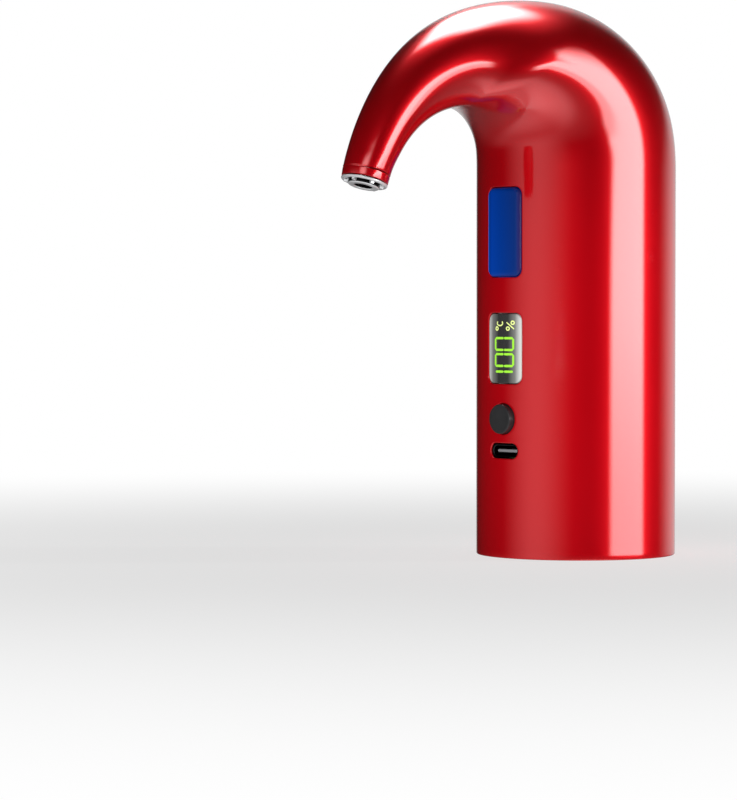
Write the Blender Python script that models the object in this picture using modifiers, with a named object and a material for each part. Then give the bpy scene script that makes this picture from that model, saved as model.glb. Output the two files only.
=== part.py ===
"""Electric wine aerator: a hooked, painted housing that sits over a bottle's neck. An air pump in it
pushes wine up a tube and out of an aerating nozzle. The body's axis is Z, its bottom rim lies at Z = 0,
the spout points along -Y, and the key, display, button and charging port are on the -Y side."""

import math

import bmesh
import bpy
from mathutils import Matrix, Vector

MM = 0.001

# Clearances
GAP = 0.3 * MM  # between pieces that touch on the real object
WINDOW_GAP = 0.15 * MM  # round a piece that fills a window of the housing
OVERRUN = 1.0 * MM  # how far a cutter runs past what it cuts

# Housing: a round body whose top bends over and narrows to a nozzle
BODY_RADIUS = 24.4 * MM
WALL = 2.0 * MM
CROWN_RISE = 37.3 * MM
CROWN_REACH = 15.65 * MM  # the crown's distance ahead of the body's axis
CROTCH_RISE = 10.4 * MM
CROTCH_SPAN = 15.4 * MM  # from the body's front to the highest point under the hook
NOZZLE_OVERHANG = 43.6 * MM  # from the body's front to the middle of the nozzle's end
NOZZLE_DROP = 7.45 * MM  # of the nozzle's end below the shoulder
NOZZLE_RADIUS = 5.52 * MM
NOZZLE_WALL = 1.2 * MM
NOZZLE_TILT = math.radians(16.4)
CROWN_PULL = 47.4 * MM  # lengths of the handles of the two curves from the crown to the nozzle
OUTER_TIP_PULL = 4.5 * MM
CROTCH_PULL = 4.2 * MM
INNER_TIP_PULL = 15.7 * MM
SEAM = 0.3 * MM  # dark joint line between housing and nozzle collar
COLLAR_LENGTH = 1.8 * MM
SHOULDER_STEPS, SPOUT_STEPS, HALF_ROUND_STEPS = 9, 16, 16

# Socket for the bottle's neck, and the cup that lines it
SOCKET_DEPTH = 20.5 * MM
CUP_FLOOR = 2.3 * MM
CUP_WALL = 1.2 * MM
CUP_RECESS = 1.0 * MM  # of the cup's edge above the housing's rim

# Front panel, from the cup in the socket up to where the straight body starts to bend
PORT_RISE = 3.1 * MM  # of the charging port's middle above the cup
PORT_TO_BUTTON, BUTTON_TO_WINDOW, WINDOW_TO_KEY = 2.25 * MM, 5.0 * MM, 8.9 * MM  # between their edges
KEY_TO_SHOULDER = 8.1 * MM
KEY_WIDTH, KEY_LENGTH, KEY_CORNER = 11.2 * MM, 21.4 * MM, 2.0 * MM
KEY_RAISE = 0.7 * MM
WINDOW_WIDTH, WINDOW_LENGTH, WINDOW_CORNER = 11.4 * MM, 16.8 * MM, 2.0 * MM
LENS_RECESS = 0.1 * MM
BUTTON_RADIUS = 3.6 * MM
BUTTON_RAISE = 1.2 * MM
FLANGE_LIP = 0.9 * MM  # how far a flange reaches behind the wall all round
FLANGE_THICKNESS = 1.0 * MM
PORT_WIDTH, PORT_LENGTH = 9.4 * MM, 3.7 * MM
SOCKET_RECESS = 0.9 * MM  # of the charging socket's mouth behind the body's surface
SOCKET_WALL = 0.3 * MM
TONGUE_WIDTH, TONGUE_THICKNESS, TONGUE_LENGTH = 6.7 * MM, 0.7 * MM, 5.6 * MM
TONGUE_RECESS = 0.6 * MM

# Circuit board and what is soldered to it
BOARD_INSET = 6.9 * MM  # of its front face from the housing's inner wall
BOARD_THICKNESS = 1.6 * MM
BOARD_WIDTH = 25.0 * MM
BOARD_EDGE = 3.0 * MM  # from a screw's middle to the board's side
BOARD_ABOVE_CHASSIS = 2.9 * MM
SOLDER_GAP = 0.1 * MM
SWITCH_SIDE, SWITCH_THICKNESS = 6.0 * MM, 3.4 * MM
PLUNGER_RADIUS, PLUNGER_LENGTH, PLUNGER_WELL = 1.7 * MM, 2.0 * MM, 2.1 * MM
DISPLAY_SIDE_MARGIN = 0.4 * MM
CHIP_SIDE, CHIP_THICKNESS = 5.0 * MM, 1.0 * MM
CHIP_ABOVE_WINDOW_MIDDLE = 7.4 * MM
CONNECTOR_WIDTH, CONNECTOR_DEPTH, CONNECTOR_LENGTH = 6.0 * MM, 4.2 * MM, 5.0 * MM
CONNECTOR_SIDE = 8.0 * MM  # distance from the middle of the board
BATTERY_CONNECTOR_DROP = 12.0 * MM  # of its middle below the chassis's lug
MOTOR_CONNECTOR_DROP = 4.0 * MM  # of its middle below the top of the motor

# Chassis
DISC_THICKNESS = 2.2 * MM
SPINE_NEAR, SPINE_FAR, SPINE_THICKNESS = 7.4 * MM, 14.5 * MM, 2.0 * MM
SPINE_SIDE = 2.4 * MM  # of the spine's middle from the body's axis
BRIDGE_THICKNESS = 2.0 * MM
BRIDGE_WIDTH = 12.0 * MM
LUG_DEPTH, LUG_LENGTH = 5.0 * MM, 6.0 * MM
LUG_EDGE = 2.5 * MM  # from a board screw's middle to the lug's end
CHASSIS_DROP = 9.4 * MM  # of its top below the bend of the body
BOSS_RADIUS, BOSS_LENGTH = 3.0 * MM, 11.0 * MM
BOSS_WEB_WIDTH, BOSS_WEB_BITE = 2.4 * MM, 0.6 * MM  # the web joins a boss to the wall, and bites into it
FRONT_BOSS_ANGLE, BACK_BOSS_ANGLE = math.radians(-26.7), math.radians(76.9)

# Screws
SHANK_RADIUS, SHANK_CLEARANCE = 1.0 * MM, 0.3 * MM
HEAD_RADIUS, HEAD_THICKNESS = 1.9 * MM, 1.2 * MM
BASE_SCREW_LENGTH = 11.5 * MM
CLAMP_SCREW_LENGTH = 5.4 * MM
BOARD_SCREW_LENGTH = 5.6 * MM

# Air pump: a small motor with a three-chamber diaphragm head on top
SIDE_CLEARANCE = 0.5 * MM  # between a clamp and the housing
MOTOR_RADIUS, MOTOR_LENGTH, MOTOR_WALL = 8.5 * MM, 22.3 * MM, 1.0 * MM
PUMP_ANGLE = math.radians(24.4)  # of its axis behind the body's -X side
CLAMP_THICKNESS = 1.0 * MM
PUMP_CLAMP_HEIGHT, CLAMP_WIDTH = 40.0 * MM, 4.0 * MM
CLAMP_SPAN = math.radians(300)
PUMP_CLAMP_MIDDLE, CELL_CLAMP_MIDDLE = math.radians(80), math.radians(15)  # of each strap's arc
END_CAP_FLANGE, END_CAP_PLUG = 1.8 * MM, 1.6 * MM
SHAFT_RADIUS = 1.0 * MM
MAGNET_THICKNESS, MAGNET_LENGTH, MAGNET_SPAN = 1.3 * MM, 14.0 * MM, math.radians(150)
AIR_BETWEEN_POLES = 0.4 * MM
ARMATURE_LENGTH = 13.0 * MM
SLOT_WIDTH, SLOT_DEPTH, SLOT_COUNT = 1.6 * MM, 2.6 * MM, 3
COMMUTATOR_RADIUS, COMMUTATOR_LENGTH = 2.4 * MM, 2.4 * MM
BUSH_RADIUS, BUSH_FLANGE, BUSH_FLANGE_THICKNESS = 2.3 * MM, 3.2 * MM, 1.3 * MM
HEAD_CASE_RADIUS, HEAD_CASE_WALL, HEAD_CASE_LENGTH = 9.0 * MM, 1.2 * MM, 9.7 * MM
ECCENTRIC_RADIUS, ECCENTRIC_LENGTH = 3.4 * MM, 3.4 * MM
PIN_OFFSET, PIN_RADIUS, PIN_LENGTH = 1.5 * MM, 0.8 * MM, 2.2 * MM
DRIVE_THICKNESS, DRIVE_RIM, ARM_WIDTH, ARM_REACH = 1.8 * MM, 1.5 * MM, 3.0 * MM, 6.8 * MM
DIAPHRAGM_THICKNESS, CHAMBER_RADIUS, CHAMBER_DEPTH = 1.0 * MM, 2.3 * MM, 1.2 * MM
CHAMBER_DISTANCE, CHAMBER_WALL, CHAMBER_COUNT = 4.9 * MM, 0.6 * MM, 3
VALVE_PLATE_THICKNESS, VALVE_PORT_RADIUS = 1.6 * MM, 0.8 * MM
PUMP_CAP_THICKNESS = 3.0 * MM
BARB_LENGTH = 4.5 * MM

# Air line to the bottle
AIR_X, AIR_Y = 2.6 * MM, 3.4 * MM
AIR_TUBE_RADIUS, AIR_TUBE_BORE = 2.4 * MM, 1.6 * MM
AIR_BARB_RADIUS, AIR_BARB_BORE = 1.3 * MM, 0.7 * MM
VALVE_RADIUS, VALVE_WALL, VALVE_LENGTH = 2.9 * MM, 1.0 * MM, 10.0 * MM
VALVE_END = 2.0 * MM
VALVE_BOTTOM = 49.7 * MM
AIR_LOOP_CLEARANCE = 2.0 * MM  # between the loop of tube and the bridge above it
DUCKBILL_THICKNESS, DUCKBILL_BORE = 1.2 * MM, 0.4 * MM
DUCKBILL_TIP = 0.9 * MM
AIR_INLET_RADIUS, AIR_INLET_FLANGE = 1.9 * MM, 3.3 * MM

# Wine line
WINE_Y = -4.2 * MM
WINE_TUBE_RADIUS, WINE_TUBE_BORE = 3.2 * MM, 2.3 * MM
WINE_BARB_RADIUS, WINE_BARB_BORE = 2.0 * MM, 1.4 * MM
WINE_INLET_RADIUS, WINE_INLET_FLANGE = 2.3 * MM, 3.9 * MM
INLET_FLANGE_THICKNESS = 1.0 * MM
WINE_BARB_LENGTH = 7.0 * MM
# Where the tube is centred in the shoulder and in the spout
SHOULDER_ROUTE_SHARE = 0.66
SPOUT_ROUTE_SHARES = (0, 0.2, 0.4, 0.55)
INLET_RIM_GAP = 1.0 * MM  # of the inlets' lower ends above the housing's rim
HOSE_RIDGE = 0.4 * MM
HOSE_RIDGE_LENGTH = 1.2 * MM

# Nozzle insert, along the nozzle's own axis from the end of the collar
RING_PROUD = 0.9 * MM
RING_CHAMFER = 0.35 * MM
SKIRT_GAP = 0.3 * MM
SKIRT_LENGTH, SKIRT_WALL = 6.0 * MM, 0.6 * MM
OUTLET_RADIUS, OUTLET_RING_RADIUS, OUTLET_PROUD = 2.25 * MM, 3.5 * MM, 0.7 * MM
SPOKE_COUNT, SPOKE_WIDTH, SPOKE_DEPTH = 6, 0.7 * MM, 2.5 * MM
SPOKE_PHASE = math.radians(16)
STEM_LENGTH, STEM_NECK = 9.5 * MM, 5.5 * MM

# Stopper and gasket that seal the bottle
GASKET_BORE, GASKET_RADIUS, GASKET_THICKNESS = 10.2 * MM, 15.5 * MM, 1.8 * MM
STOPPER_TOP_RADIUS, STOPPER_END_RADIUS = 8.9 * MM, 7.9 * MM
STOPPER_RIM_GAP = 2.6 * MM
RIB_COUNT, RIB_REACH, RIB_LENGTH = 3, 1.0 * MM, 2.4 * MM
RIB_START_SHARE, RIB_PITCH_SHARE = 0.18, 0.27

# Battery
CELL_RADIUS, CELL_LENGTH = 7.0 * MM, 50.0 * MM
CELL_ANGLE = math.radians(22.1)  # of its axis behind the body's +X side
CELL_EDGE = 0.6 * MM
NUB_RADIUS, NUB_LENGTH = 2.5 * MM, 1.0 * MM
TAB_WIDTH, TAB_LENGTH, TAB_THICKNESS = 5.0 * MM, 8.0 * MM, 0.4 * MM
CELL_CLAMP_THICKNESS = 0.8 * MM
CELL_CLAMP_HEIGHT = 54.0 * MM
TAB_REACH = 1.5 * MM  # of the tabs past the side of the cell
LEAD_RADIUS = 0.5 * MM
LEAD_SPACING = 2.0 * MM  # between two leads at a connector
MOTOR_LEAD_SPACING = 4.8 * MM  # between the leads where they leave the motor
TAB_LEAD_REACH, TAB_LEAD_DROP = 1.0 * MM, 4.0 * MM  # of the upper tab's lead where it starts
TAB_LEAD_PULL, MOTOR_LEAD_PULL = 4.5 * MM, 3.0 * MM  # lengths of the handles of the leads' curves
PLUS_END_PULL, MINUS_END_PULL, MOTOR_END_PULL = 4.0 * MM, 24.0 * MM, 8.0 * MM

# Counts of faces round a turned piece
ROUND_STEPS, SMALL_STEPS, CORNER_STEPS = 24, 12, 3
SURFACE_STEPS, SCREW_STEPS, LOOP_STEPS, LEAD_STEPS, ROUTE_STEPS = 96, 8, 10, 10, 3
ROUND_END_SHARE = 0.499  # of a slot's height, as the radius of its round ends

# Sizes that follow from the ones above
INNER_RADIUS = BODY_RADIUS - WALL
CROTCH_REACH = BODY_RADIUS + CROTCH_SPAN
NOZZLE_REACH = BODY_RADIUS + NOZZLE_OVERHANG
LINER_RADIUS = INNER_RADIUS - GAP
CUP_TOP = SOCKET_DEPTH + CUP_FLOOR
PORT_HEIGHT = CUP_TOP + PORT_RISE
BUTTON_HEIGHT = PORT_HEIGHT + PORT_LENGTH / 2 + PORT_TO_BUTTON + BUTTON_RADIUS
WINDOW_HEIGHT = BUTTON_HEIGHT + BUTTON_RADIUS + BUTTON_TO_WINDOW + WINDOW_LENGTH / 2
KEY_HEIGHT = WINDOW_HEIGHT + WINDOW_LENGTH / 2 + WINDOW_TO_KEY + KEY_LENGTH / 2
SHOULDER_HEIGHT = KEY_HEIGHT + KEY_LENGTH / 2 + KEY_TO_SHOULDER
NOZZLE_HEIGHT = SHOULDER_HEIGHT - NOZZLE_DROP
DISC_BOTTOM = CUP_TOP + GAP
DISC_TOP = DISC_BOTTOM + DISC_THICKNESS
BOARD_FRONT = -(INNER_RADIUS - BOARD_INSET)
BOARD_BACK = BOARD_FRONT + BOARD_THICKNESS
BOARD_BOTTOM = CUP_TOP + 2 * GAP
CHASSIS_TOP = SHOULDER_HEIGHT - CHASSIS_DROP
BOARD_TOP = CHASSIS_TOP + BOARD_ABOVE_CHASSIS
BOARD_SCREW_SIDE = BOARD_WIDTH / 2 - BOARD_EDGE
FLANGE_HALF_WIDTH = KEY_WIDTH / 2 + FLANGE_LIP
FLANGE_FRONT = -(math.sqrt(INNER_RADIUS**2 - FLANGE_HALF_WIDTH**2) - GAP)
FLANGE_BACK = FLANGE_FRONT + FLANGE_THICKNESS
HOLE_RADIUS = SHANK_RADIUS + SHANK_CLEARANCE
BOSS_BOTTOM = DISC_TOP + GAP
BOSS_DISTANCE = LINER_RADIUS - CUP_WALL - HEAD_RADIUS - GAP
CLAMP_RADIUS = MOTOR_RADIUS + GAP + CLAMP_THICKNESS
PUMP_DISTANCE = INNER_RADIUS - SIDE_CLEARANCE - CLAMP_RADIUS
PUMP_X, PUMP_Y = -PUMP_DISTANCE * math.cos(PUMP_ANGLE), PUMP_DISTANCE * math.sin(PUMP_ANGLE)
CELL_CLAMP_RADIUS = CELL_RADIUS + GAP + CELL_CLAMP_THICKNESS
CELL_DISTANCE = INNER_RADIUS - SIDE_CLEARANCE - CELL_CLAMP_RADIUS
CELL_X, CELL_Y = CELL_DISTANCE * math.cos(CELL_ANGLE), CELL_DISTANCE * math.sin(CELL_ANGLE)
MOTOR_BOTTOM = DISC_TOP + GAP
CAN_BOTTOM = MOTOR_BOTTOM + END_CAP_FLANGE + GAP
CAN_TOP = CAN_BOTTOM + MOTOR_LENGTH
HEAD_BOTTOM = CAN_TOP + GAP
HEAD_TOP = HEAD_BOTTOM + HEAD_CASE_LENGTH
DIAPHRAGM_BOTTOM = HEAD_TOP + GAP
DIAPHRAGM_TOP = DIAPHRAGM_BOTTOM + DIAPHRAGM_THICKNESS
VALVE_PLATE_BOTTOM = DIAPHRAGM_TOP + GAP
PUMP_CAP_BOTTOM = VALVE_PLATE_BOTTOM + VALVE_PLATE_THICKNESS + GAP
PUMP_CAP_TOP = PUMP_CAP_BOTTOM + PUMP_CAP_THICKNESS
DRIVE_TOP = DIAPHRAGM_BOTTOM - CHAMBER_DEPTH - GAP
DRIVE_BOTTOM = DRIVE_TOP - DRIVE_THICKNESS
BRIDGE_BOTTOM = CHASSIS_TOP - BRIDGE_THICKNESS
SPINE_LEFT, SPINE_RIGHT = SPINE_SIDE - SPINE_THICKNESS / 2, SPINE_SIDE + SPINE_THICKNESS / 2
GASKET_TOP = SOCKET_DEPTH - GAP
GASKET_BOTTOM = GASKET_TOP - GASKET_THICKNESS
CELL_BOTTOM = DISC_TOP + TAB_THICKNESS + 2 * GAP
CELL_TOP = CELL_BOTTOM + CELL_LENGTH
CONNECTOR_MIDDLE = BOARD_BACK + SOLDER_GAP + CONNECTOR_DEPTH / 2
BATTERY_CONNECTOR_HEIGHT = BRIDGE_BOTTOM - LUG_LENGTH - BATTERY_CONNECTOR_DROP
MOTOR_CONNECTOR_HEIGHT = CAN_TOP - MOTOR_CONNECTOR_DROP
COLLAR_BORE = NOZZLE_RADIUS - NOZZLE_WALL

FINISHES = {  # colour, roughness, metallic
    "red_paint": ((0.52, 0.0, 0.006), 0.22, 0.1),
    "blue_key": ((0.0, 0.03, 0.3), 0.3, 0.0),
    "black_plastic": ((0.02, 0.02, 0.02), 0.4, 0.0),
    "dark_lens": ((0.03, 0.03, 0.035), 0.12, 0.0),
    "grey_plastic": ((0.2, 0.2, 0.21), 0.5, 0.0),
    "white_plastic": ((0.75, 0.75, 0.72), 0.45, 0.0),
    "silver_plate": ((0.72, 0.73, 0.75), 0.2, 1.0),
    "steel": ((0.6, 0.6, 0.62), 0.3, 1.0),
    "dark_steel": ((0.12, 0.12, 0.13), 0.4, 1.0),
    "copper": ((0.7, 0.32, 0.15), 0.35, 1.0),
    "brass": ((0.75, 0.55, 0.22), 0.35, 1.0),
    "magnet": ((0.08, 0.08, 0.09), 0.6, 0.3),
    "board_green": ((0.01, 0.14, 0.05), 0.45, 0.0),
    "clear_silicone": ((0.8, 0.8, 0.78), 0.35, 0.0),
    "black_silicone": ((0.03, 0.03, 0.03), 0.7, 0.0),
    "cell_wrap": ((0.02, 0.18, 0.32), 0.35, 0.0),
    "red_lead": ((0.6, 0.02, 0.02), 0.4, 0.0),
    "black_lead": ((0.02, 0.02, 0.02), 0.4, 0.0),
}


def material(finish):
    """The finish's material, made once."""
    found = bpy.data.materials.get(finish)
    if found:
        return found
    colour, roughness, metallic = FINISHES[finish]
    made = bpy.data.materials.new(finish)
    made.use_nodes = True
    shader = made.node_tree.nodes["Principled BSDF"]
    shader.inputs["Base Color"].default_value = (*colour, 1.0)
    shader.inputs["Roughness"].default_value = roughness
    shader.inputs["Metallic"].default_value = metallic
    return made


def collection(name):
    """The named collection, made once."""
    found = bpy.data.collections.get(name)
    if not found:
        found = bpy.data.collections.new(name)
        bpy.context.scene.collection.children.link(found)
    return found


def add_object(name, data, finish, at=(0, 0, 0), parent=None):
    """An object of the aerator, or a cutter where it has no finish."""
    made = bpy.data.objects.new(name, data)
    made.location = at
    made.parent = parent
    if finish:
        data.materials.append(material(finish))
        collection("electric_wine_aerator").objects.link(made)
    else:
        collection("cutters").objects.link(made)
        made.hide_render = True
        made.display_type = "WIRE"
    return made


def add_empty(name, at, turn=(0, 0, 0)):
    """An empty that carries a group of pieces on its axis."""
    made = bpy.data.objects.new(name, None)
    made.location = at
    made.rotation_euler = turn
    collection("electric_wine_aerator").objects.link(made)
    return made


def smoothed(mesh):
    mesh.shade_smooth()
    mesh.set_sharp_from_angle(angle=math.radians(30))


def mesh_of(shape, name):
    """A mesh made of a bmesh, which it frees."""
    mesh = bpy.data.meshes.new(name)
    shape.to_mesh(mesh)
    shape.free()
    smoothed(mesh)
    return mesh


def add_box(name, low, high, finish=None, corner=0, along="Y", parent=None):
    """A box between two corners, its four edges along one axis rounded."""
    size = Vector(high) - Vector(low)
    shape = bmesh.new()
    bmesh.ops.create_cube(shape, size=1, matrix=Matrix.Diagonal((*size, 1)))
    if corner:
        axis = "XYZ".index(along)
        edges = [e for e in shape.edges if abs((e.verts[0].co - e.verts[1].co)[axis]) > size[axis] / 2]
        bmesh.ops.bevel(shape, geom=edges, offset=corner, segments=CORNER_STEPS, profile=0.5, affect="EDGES")
    middle = (Vector(high) + Vector(low)) / 2
    return add_object(name, mesh_of(shape, name), finish, middle, parent)


def add_cylinder(name, radius, start, end, finish=None, parent=None, steps=SMALL_STEPS):
    """A cylinder from one point to another."""
    start, end = Vector(start), Vector(end)
    shape = bmesh.new()
    bmesh.ops.create_cone(
        shape, cap_ends=True, segments=steps, radius1=radius, radius2=radius, depth=(end - start).length
    )
    made = add_object(name, mesh_of(shape, name), finish, (start + end) / 2, parent)
    made.rotation_euler = (end - start).to_track_quat("Z", "Y").to_euler()
    return made


def add_turned(name, profile, finish=None, at=(0, 0, 0), parent=None, steps=SMALL_STEPS, ring=False):
    """A profile of (radius, height) turned about Z. It runs down the outer side; a ring's is closed."""
    count = len(profile)
    edges = [(i, (i + 1) % count) for i in range(count if ring else count - 1)]
    mesh = bpy.data.meshes.new(name)
    mesh.from_pydata([(radius, 0, height) for radius, height in profile], edges, [])
    made = add_object(name, mesh, finish, at, parent)
    turn = made.modifiers.new("turn", "SCREW")
    turn.steps = turn.render_steps = steps
    turn.use_merge_vertices = True
    turn.merge_threshold = 0.000001
    turn.use_smooth_shade = True
    return made


def add_arc_wall(name, radius, thickness, bottom, top, middle_angle, span, finish, parent):
    """An upright wall that follows part of a circle about the parent's Z axis."""
    mesh = bpy.data.meshes.new(name)
    mesh.from_pydata([(radius, 0, top), (radius, 0, bottom)], [(0, 1)], [])
    made = add_object(name, mesh, finish, parent=parent)
    made.rotation_euler = (0, 0, middle_angle - span / 2)
    turn = made.modifiers.new("turn", "SCREW")
    turn.angle = span
    turn.steps = turn.render_steps = ROUND_STEPS // 2
    turn.use_smooth_shade = True
    wall = made.modifiers.new("wall", "SOLIDIFY")
    wall.thickness = thickness
    wall.offset = 0
    return made


def add_ring(name, outer, inner, bottom, top, finish=None, at=(0, 0, 0), parent=None, steps=SMALL_STEPS):
    """A plain tube section about Z."""
    profile = ((inner, top), (outer, top), (outer, bottom), (inner, bottom))
    return add_turned(name, profile, finish, at, parent, steps, ring=True)


def add_hose(name, points, outer, inner, finish):
    """A tube with a bore along a smooth route."""
    curve = bpy.data.curves.new(name, "CURVE")
    curve.dimensions = "3D"
    curve.bevel_depth = (outer + inner) / 2
    curve.bevel_resolution = 3
    line = curve.splines.new("POLY")
    line.points.add(len(points) - 1)
    for point, place in zip(line.points, points):
        point.co = (*place, 1)
    made = add_object(name, curve, finish)
    wall = made.modifiers.new("wall", "SOLIDIFY")
    wall.thickness = outer - inner
    wall.offset = 0
    return made


def add_lead(name, start, leave, end, arrive, finish):
    """An insulated wire on one cubic curve, which starts along one handle and ends along the other."""
    curve = bpy.data.curves.new(name, "CURVE")
    curve.dimensions = "3D"
    curve.bevel_depth = LEAD_RADIUS
    curve.bevel_resolution = 1
    curve.use_fill_caps = True
    line = curve.splines.new("POLY")
    line.points.add(LEAD_STEPS)
    start, end = Vector(start), Vector(end)
    for step, point in enumerate(line.points):
        place = bezier(start, start + Vector(leave), end - Vector(arrive), end, step / LEAD_STEPS)
        point.co = (*place, 1)
    return add_object(name, curve, finish)


def smooth_route(points, steps):
    """Points on a Catmull-Rom curve through the given ones."""
    ends = [2 * points[0] - points[1], *points, 2 * points[-1] - points[-2]]
    route = []
    for before, start, end, after in zip(ends, ends[1:], ends[2:], ends[3:]):
        for step in range(steps):
            t = step / steps
            route.append(
                0.5 * (2 * start + (end - before) * t + (2 * before - 5 * start + 4 * end - after) * t**2
                       + (3 * start - before - 3 * end + after) * t**3)
            )
    return [*route, points[-1]]


def combine(target, other, operation):
    """Cuts, joins or intersects by a Boolean, and hides the other object."""
    made = target.modifiers.new(other.name, "BOOLEAN")
    made.operation = operation
    made.solver = "EXACT"
    made.object = other
    return target


def cut(target, *cutters):
    for cutter in cutters:
        combine(target, cutter, "DIFFERENCE")
    return target


def join(target, *others):
    for other in others:
        combine(target, other, "UNION")
    return target


def bezier(start, first, second, end, t):
    """The point at t of a cubic curve."""
    s = 1 - t
    return s**3 * start + 3 * s**2 * t * first + 3 * s * t**2 * second + t**3 * end


def nozzle_axes():
    """The direction of flow and the one square to it, in the plane of (reach, height)."""
    flow = Vector((math.sin(NOZZLE_TILT), -math.cos(NOZZLE_TILT)))
    return flow, Vector((math.cos(NOZZLE_TILT), math.sin(NOZZLE_TILT)))


def shoulder_section(share):
    """The section's outer and inner points, as (reach, height), while both sides follow quarter ellipses."""
    angle = share * math.pi / 2
    across, up = math.cos(angle), math.sin(angle)
    outer = (CROWN_REACH - (BODY_RADIUS + CROWN_REACH) * across, SHOULDER_HEIGHT + CROWN_RISE * up)
    inner = (CROTCH_REACH - CROTCH_SPAN * across, SHOULDER_HEIGHT + CROTCH_RISE * up)
    return Vector(outer), Vector(inner)


def spout_section(share):
    """The same from the crown to the nozzle's end, where both sides are cubic curves."""
    flow, out = nozzle_axes()
    tip = Vector((NOZZLE_REACH, NOZZLE_HEIGHT))
    outer_end, inner_end = tip + NOZZLE_RADIUS * out, tip - NOZZLE_RADIUS * out
    crown, crotch = shoulder_section(1)
    forward = Vector((1, 0))
    outer = bezier(crown, crown + CROWN_PULL * forward, outer_end - OUTER_TIP_PULL * flow, outer_end, share)
    low = crotch + CROTCH_PULL * forward
    inner = bezier(crotch, low, inner_end - INNER_TIP_PULL * flow, inner_end, share)
    return outer, inner


def housing_end_share():
    """How far along the spout the housing stops, to leave room for the collar and the joint line."""
    flow, _ = nozzle_axes()
    tip = Vector((NOZZLE_REACH, NOZZLE_HEIGHT))
    low, high = 0.5, 1.0
    while high - low > 1e-6:
        middle = (low + high) / 2
        outer, inner = spout_section(middle)
        if (tip - (outer + inner) / 2).dot(flow) > COLLAR_LENGTH + SEAM:
            low = middle
        else:
            high = middle
    return low


def housing_end():
    """The radius of the housing's end, square to the nozzle's axis."""
    outer, inner = spout_section(housing_end_share())
    return (outer - inner).length / 2


def housing_sections():
    """Rows of (middle, direction to the outer side, radius, wall) from the rim to the spout's end."""
    base = (Vector((-BODY_RADIUS, 0)), Vector((BODY_RADIUS, 0)))
    pairs = [(base, WALL)]
    for step in range(SHOULDER_STEPS + 1):
        pairs.append((shoulder_section(step / SHOULDER_STEPS), WALL))
    end = housing_end_share()
    for step in range(1, SPOUT_STEPS):
        share = step / SPOUT_STEPS
        pairs.append((spout_section(share * end), WALL + (NOZZLE_WALL - WALL) * share))
    rows = []
    for (outer, inner), wall in pairs:
        across = outer - inner
        rows.append(((outer + inner) / 2, across.normalized(), across.length / 2, wall))
    flow, out = nozzle_axes()
    tip = Vector((NOZZLE_REACH, NOZZLE_HEIGHT))
    rows.append((tip - (COLLAR_LENGTH + SEAM) * flow, out, housing_end(), NOZZLE_WALL))
    return rows


def half_housing(name, side):
    """A closed shell on one side of the plane X = 0: rings of outer and inner points, lofted."""
    shape = bmesh.new()
    rings = []
    for middle, out, radius, wall in housing_sections():
        ring = []
        for reach in (radius, radius - wall):
            for step in range(HALF_ROUND_STEPS + 1):
                angle = math.pi * step / HALF_ROUND_STEPS
                point = middle + out * reach * math.cos(angle)
                on_seam = step in (0, HALF_ROUND_STEPS)
                across = 0 if on_seam else side * reach * math.sin(angle)
                ring.append(shape.verts.new((across, -point.x, point.y)))
        inner = ring[HALF_ROUND_STEPS + 1 :]
        rings.append(ring[: HALF_ROUND_STEPS + 1] + inner[::-1])
    count = len(rings[0])
    for lower, upper in zip(rings, rings[1:]):
        for i in range(count):
            j = (i + 1) % count
            shape.faces.new((lower[i], lower[j], upper[j], upper[i]))
    for ring in (rings[0], rings[-1]):
        for i in range(HALF_ROUND_STEPS):
            shape.faces.new((ring[i], ring[i + 1], ring[count - 2 - i], ring[count - 1 - i]))
    bmesh.ops.recalc_face_normals(shape, faces=shape.faces)
    return add_object(name, mesh_of(shape, name), "red_paint")


def panel_box(name, width, length, height, corner, front, back, finish=None, parent=None):
    """A rounded block on the front panel, centred on X = 0 at the given height."""
    low = (-width / 2, front, height - length / 2)
    high = (width / 2, back, height + length / 2)
    return add_box(name, low, high, finish, corner, "Y", parent)


def boss_places():
    """Where the four base screws stand, right side then left."""
    for side in (1, -1):
        for angle in (FRONT_BOSS_ANGLE, BACK_BOSS_ANGLE):
            yield Vector((side * BOSS_DISTANCE * math.cos(angle), BOSS_DISTANCE * math.sin(angle), 0))


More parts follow.
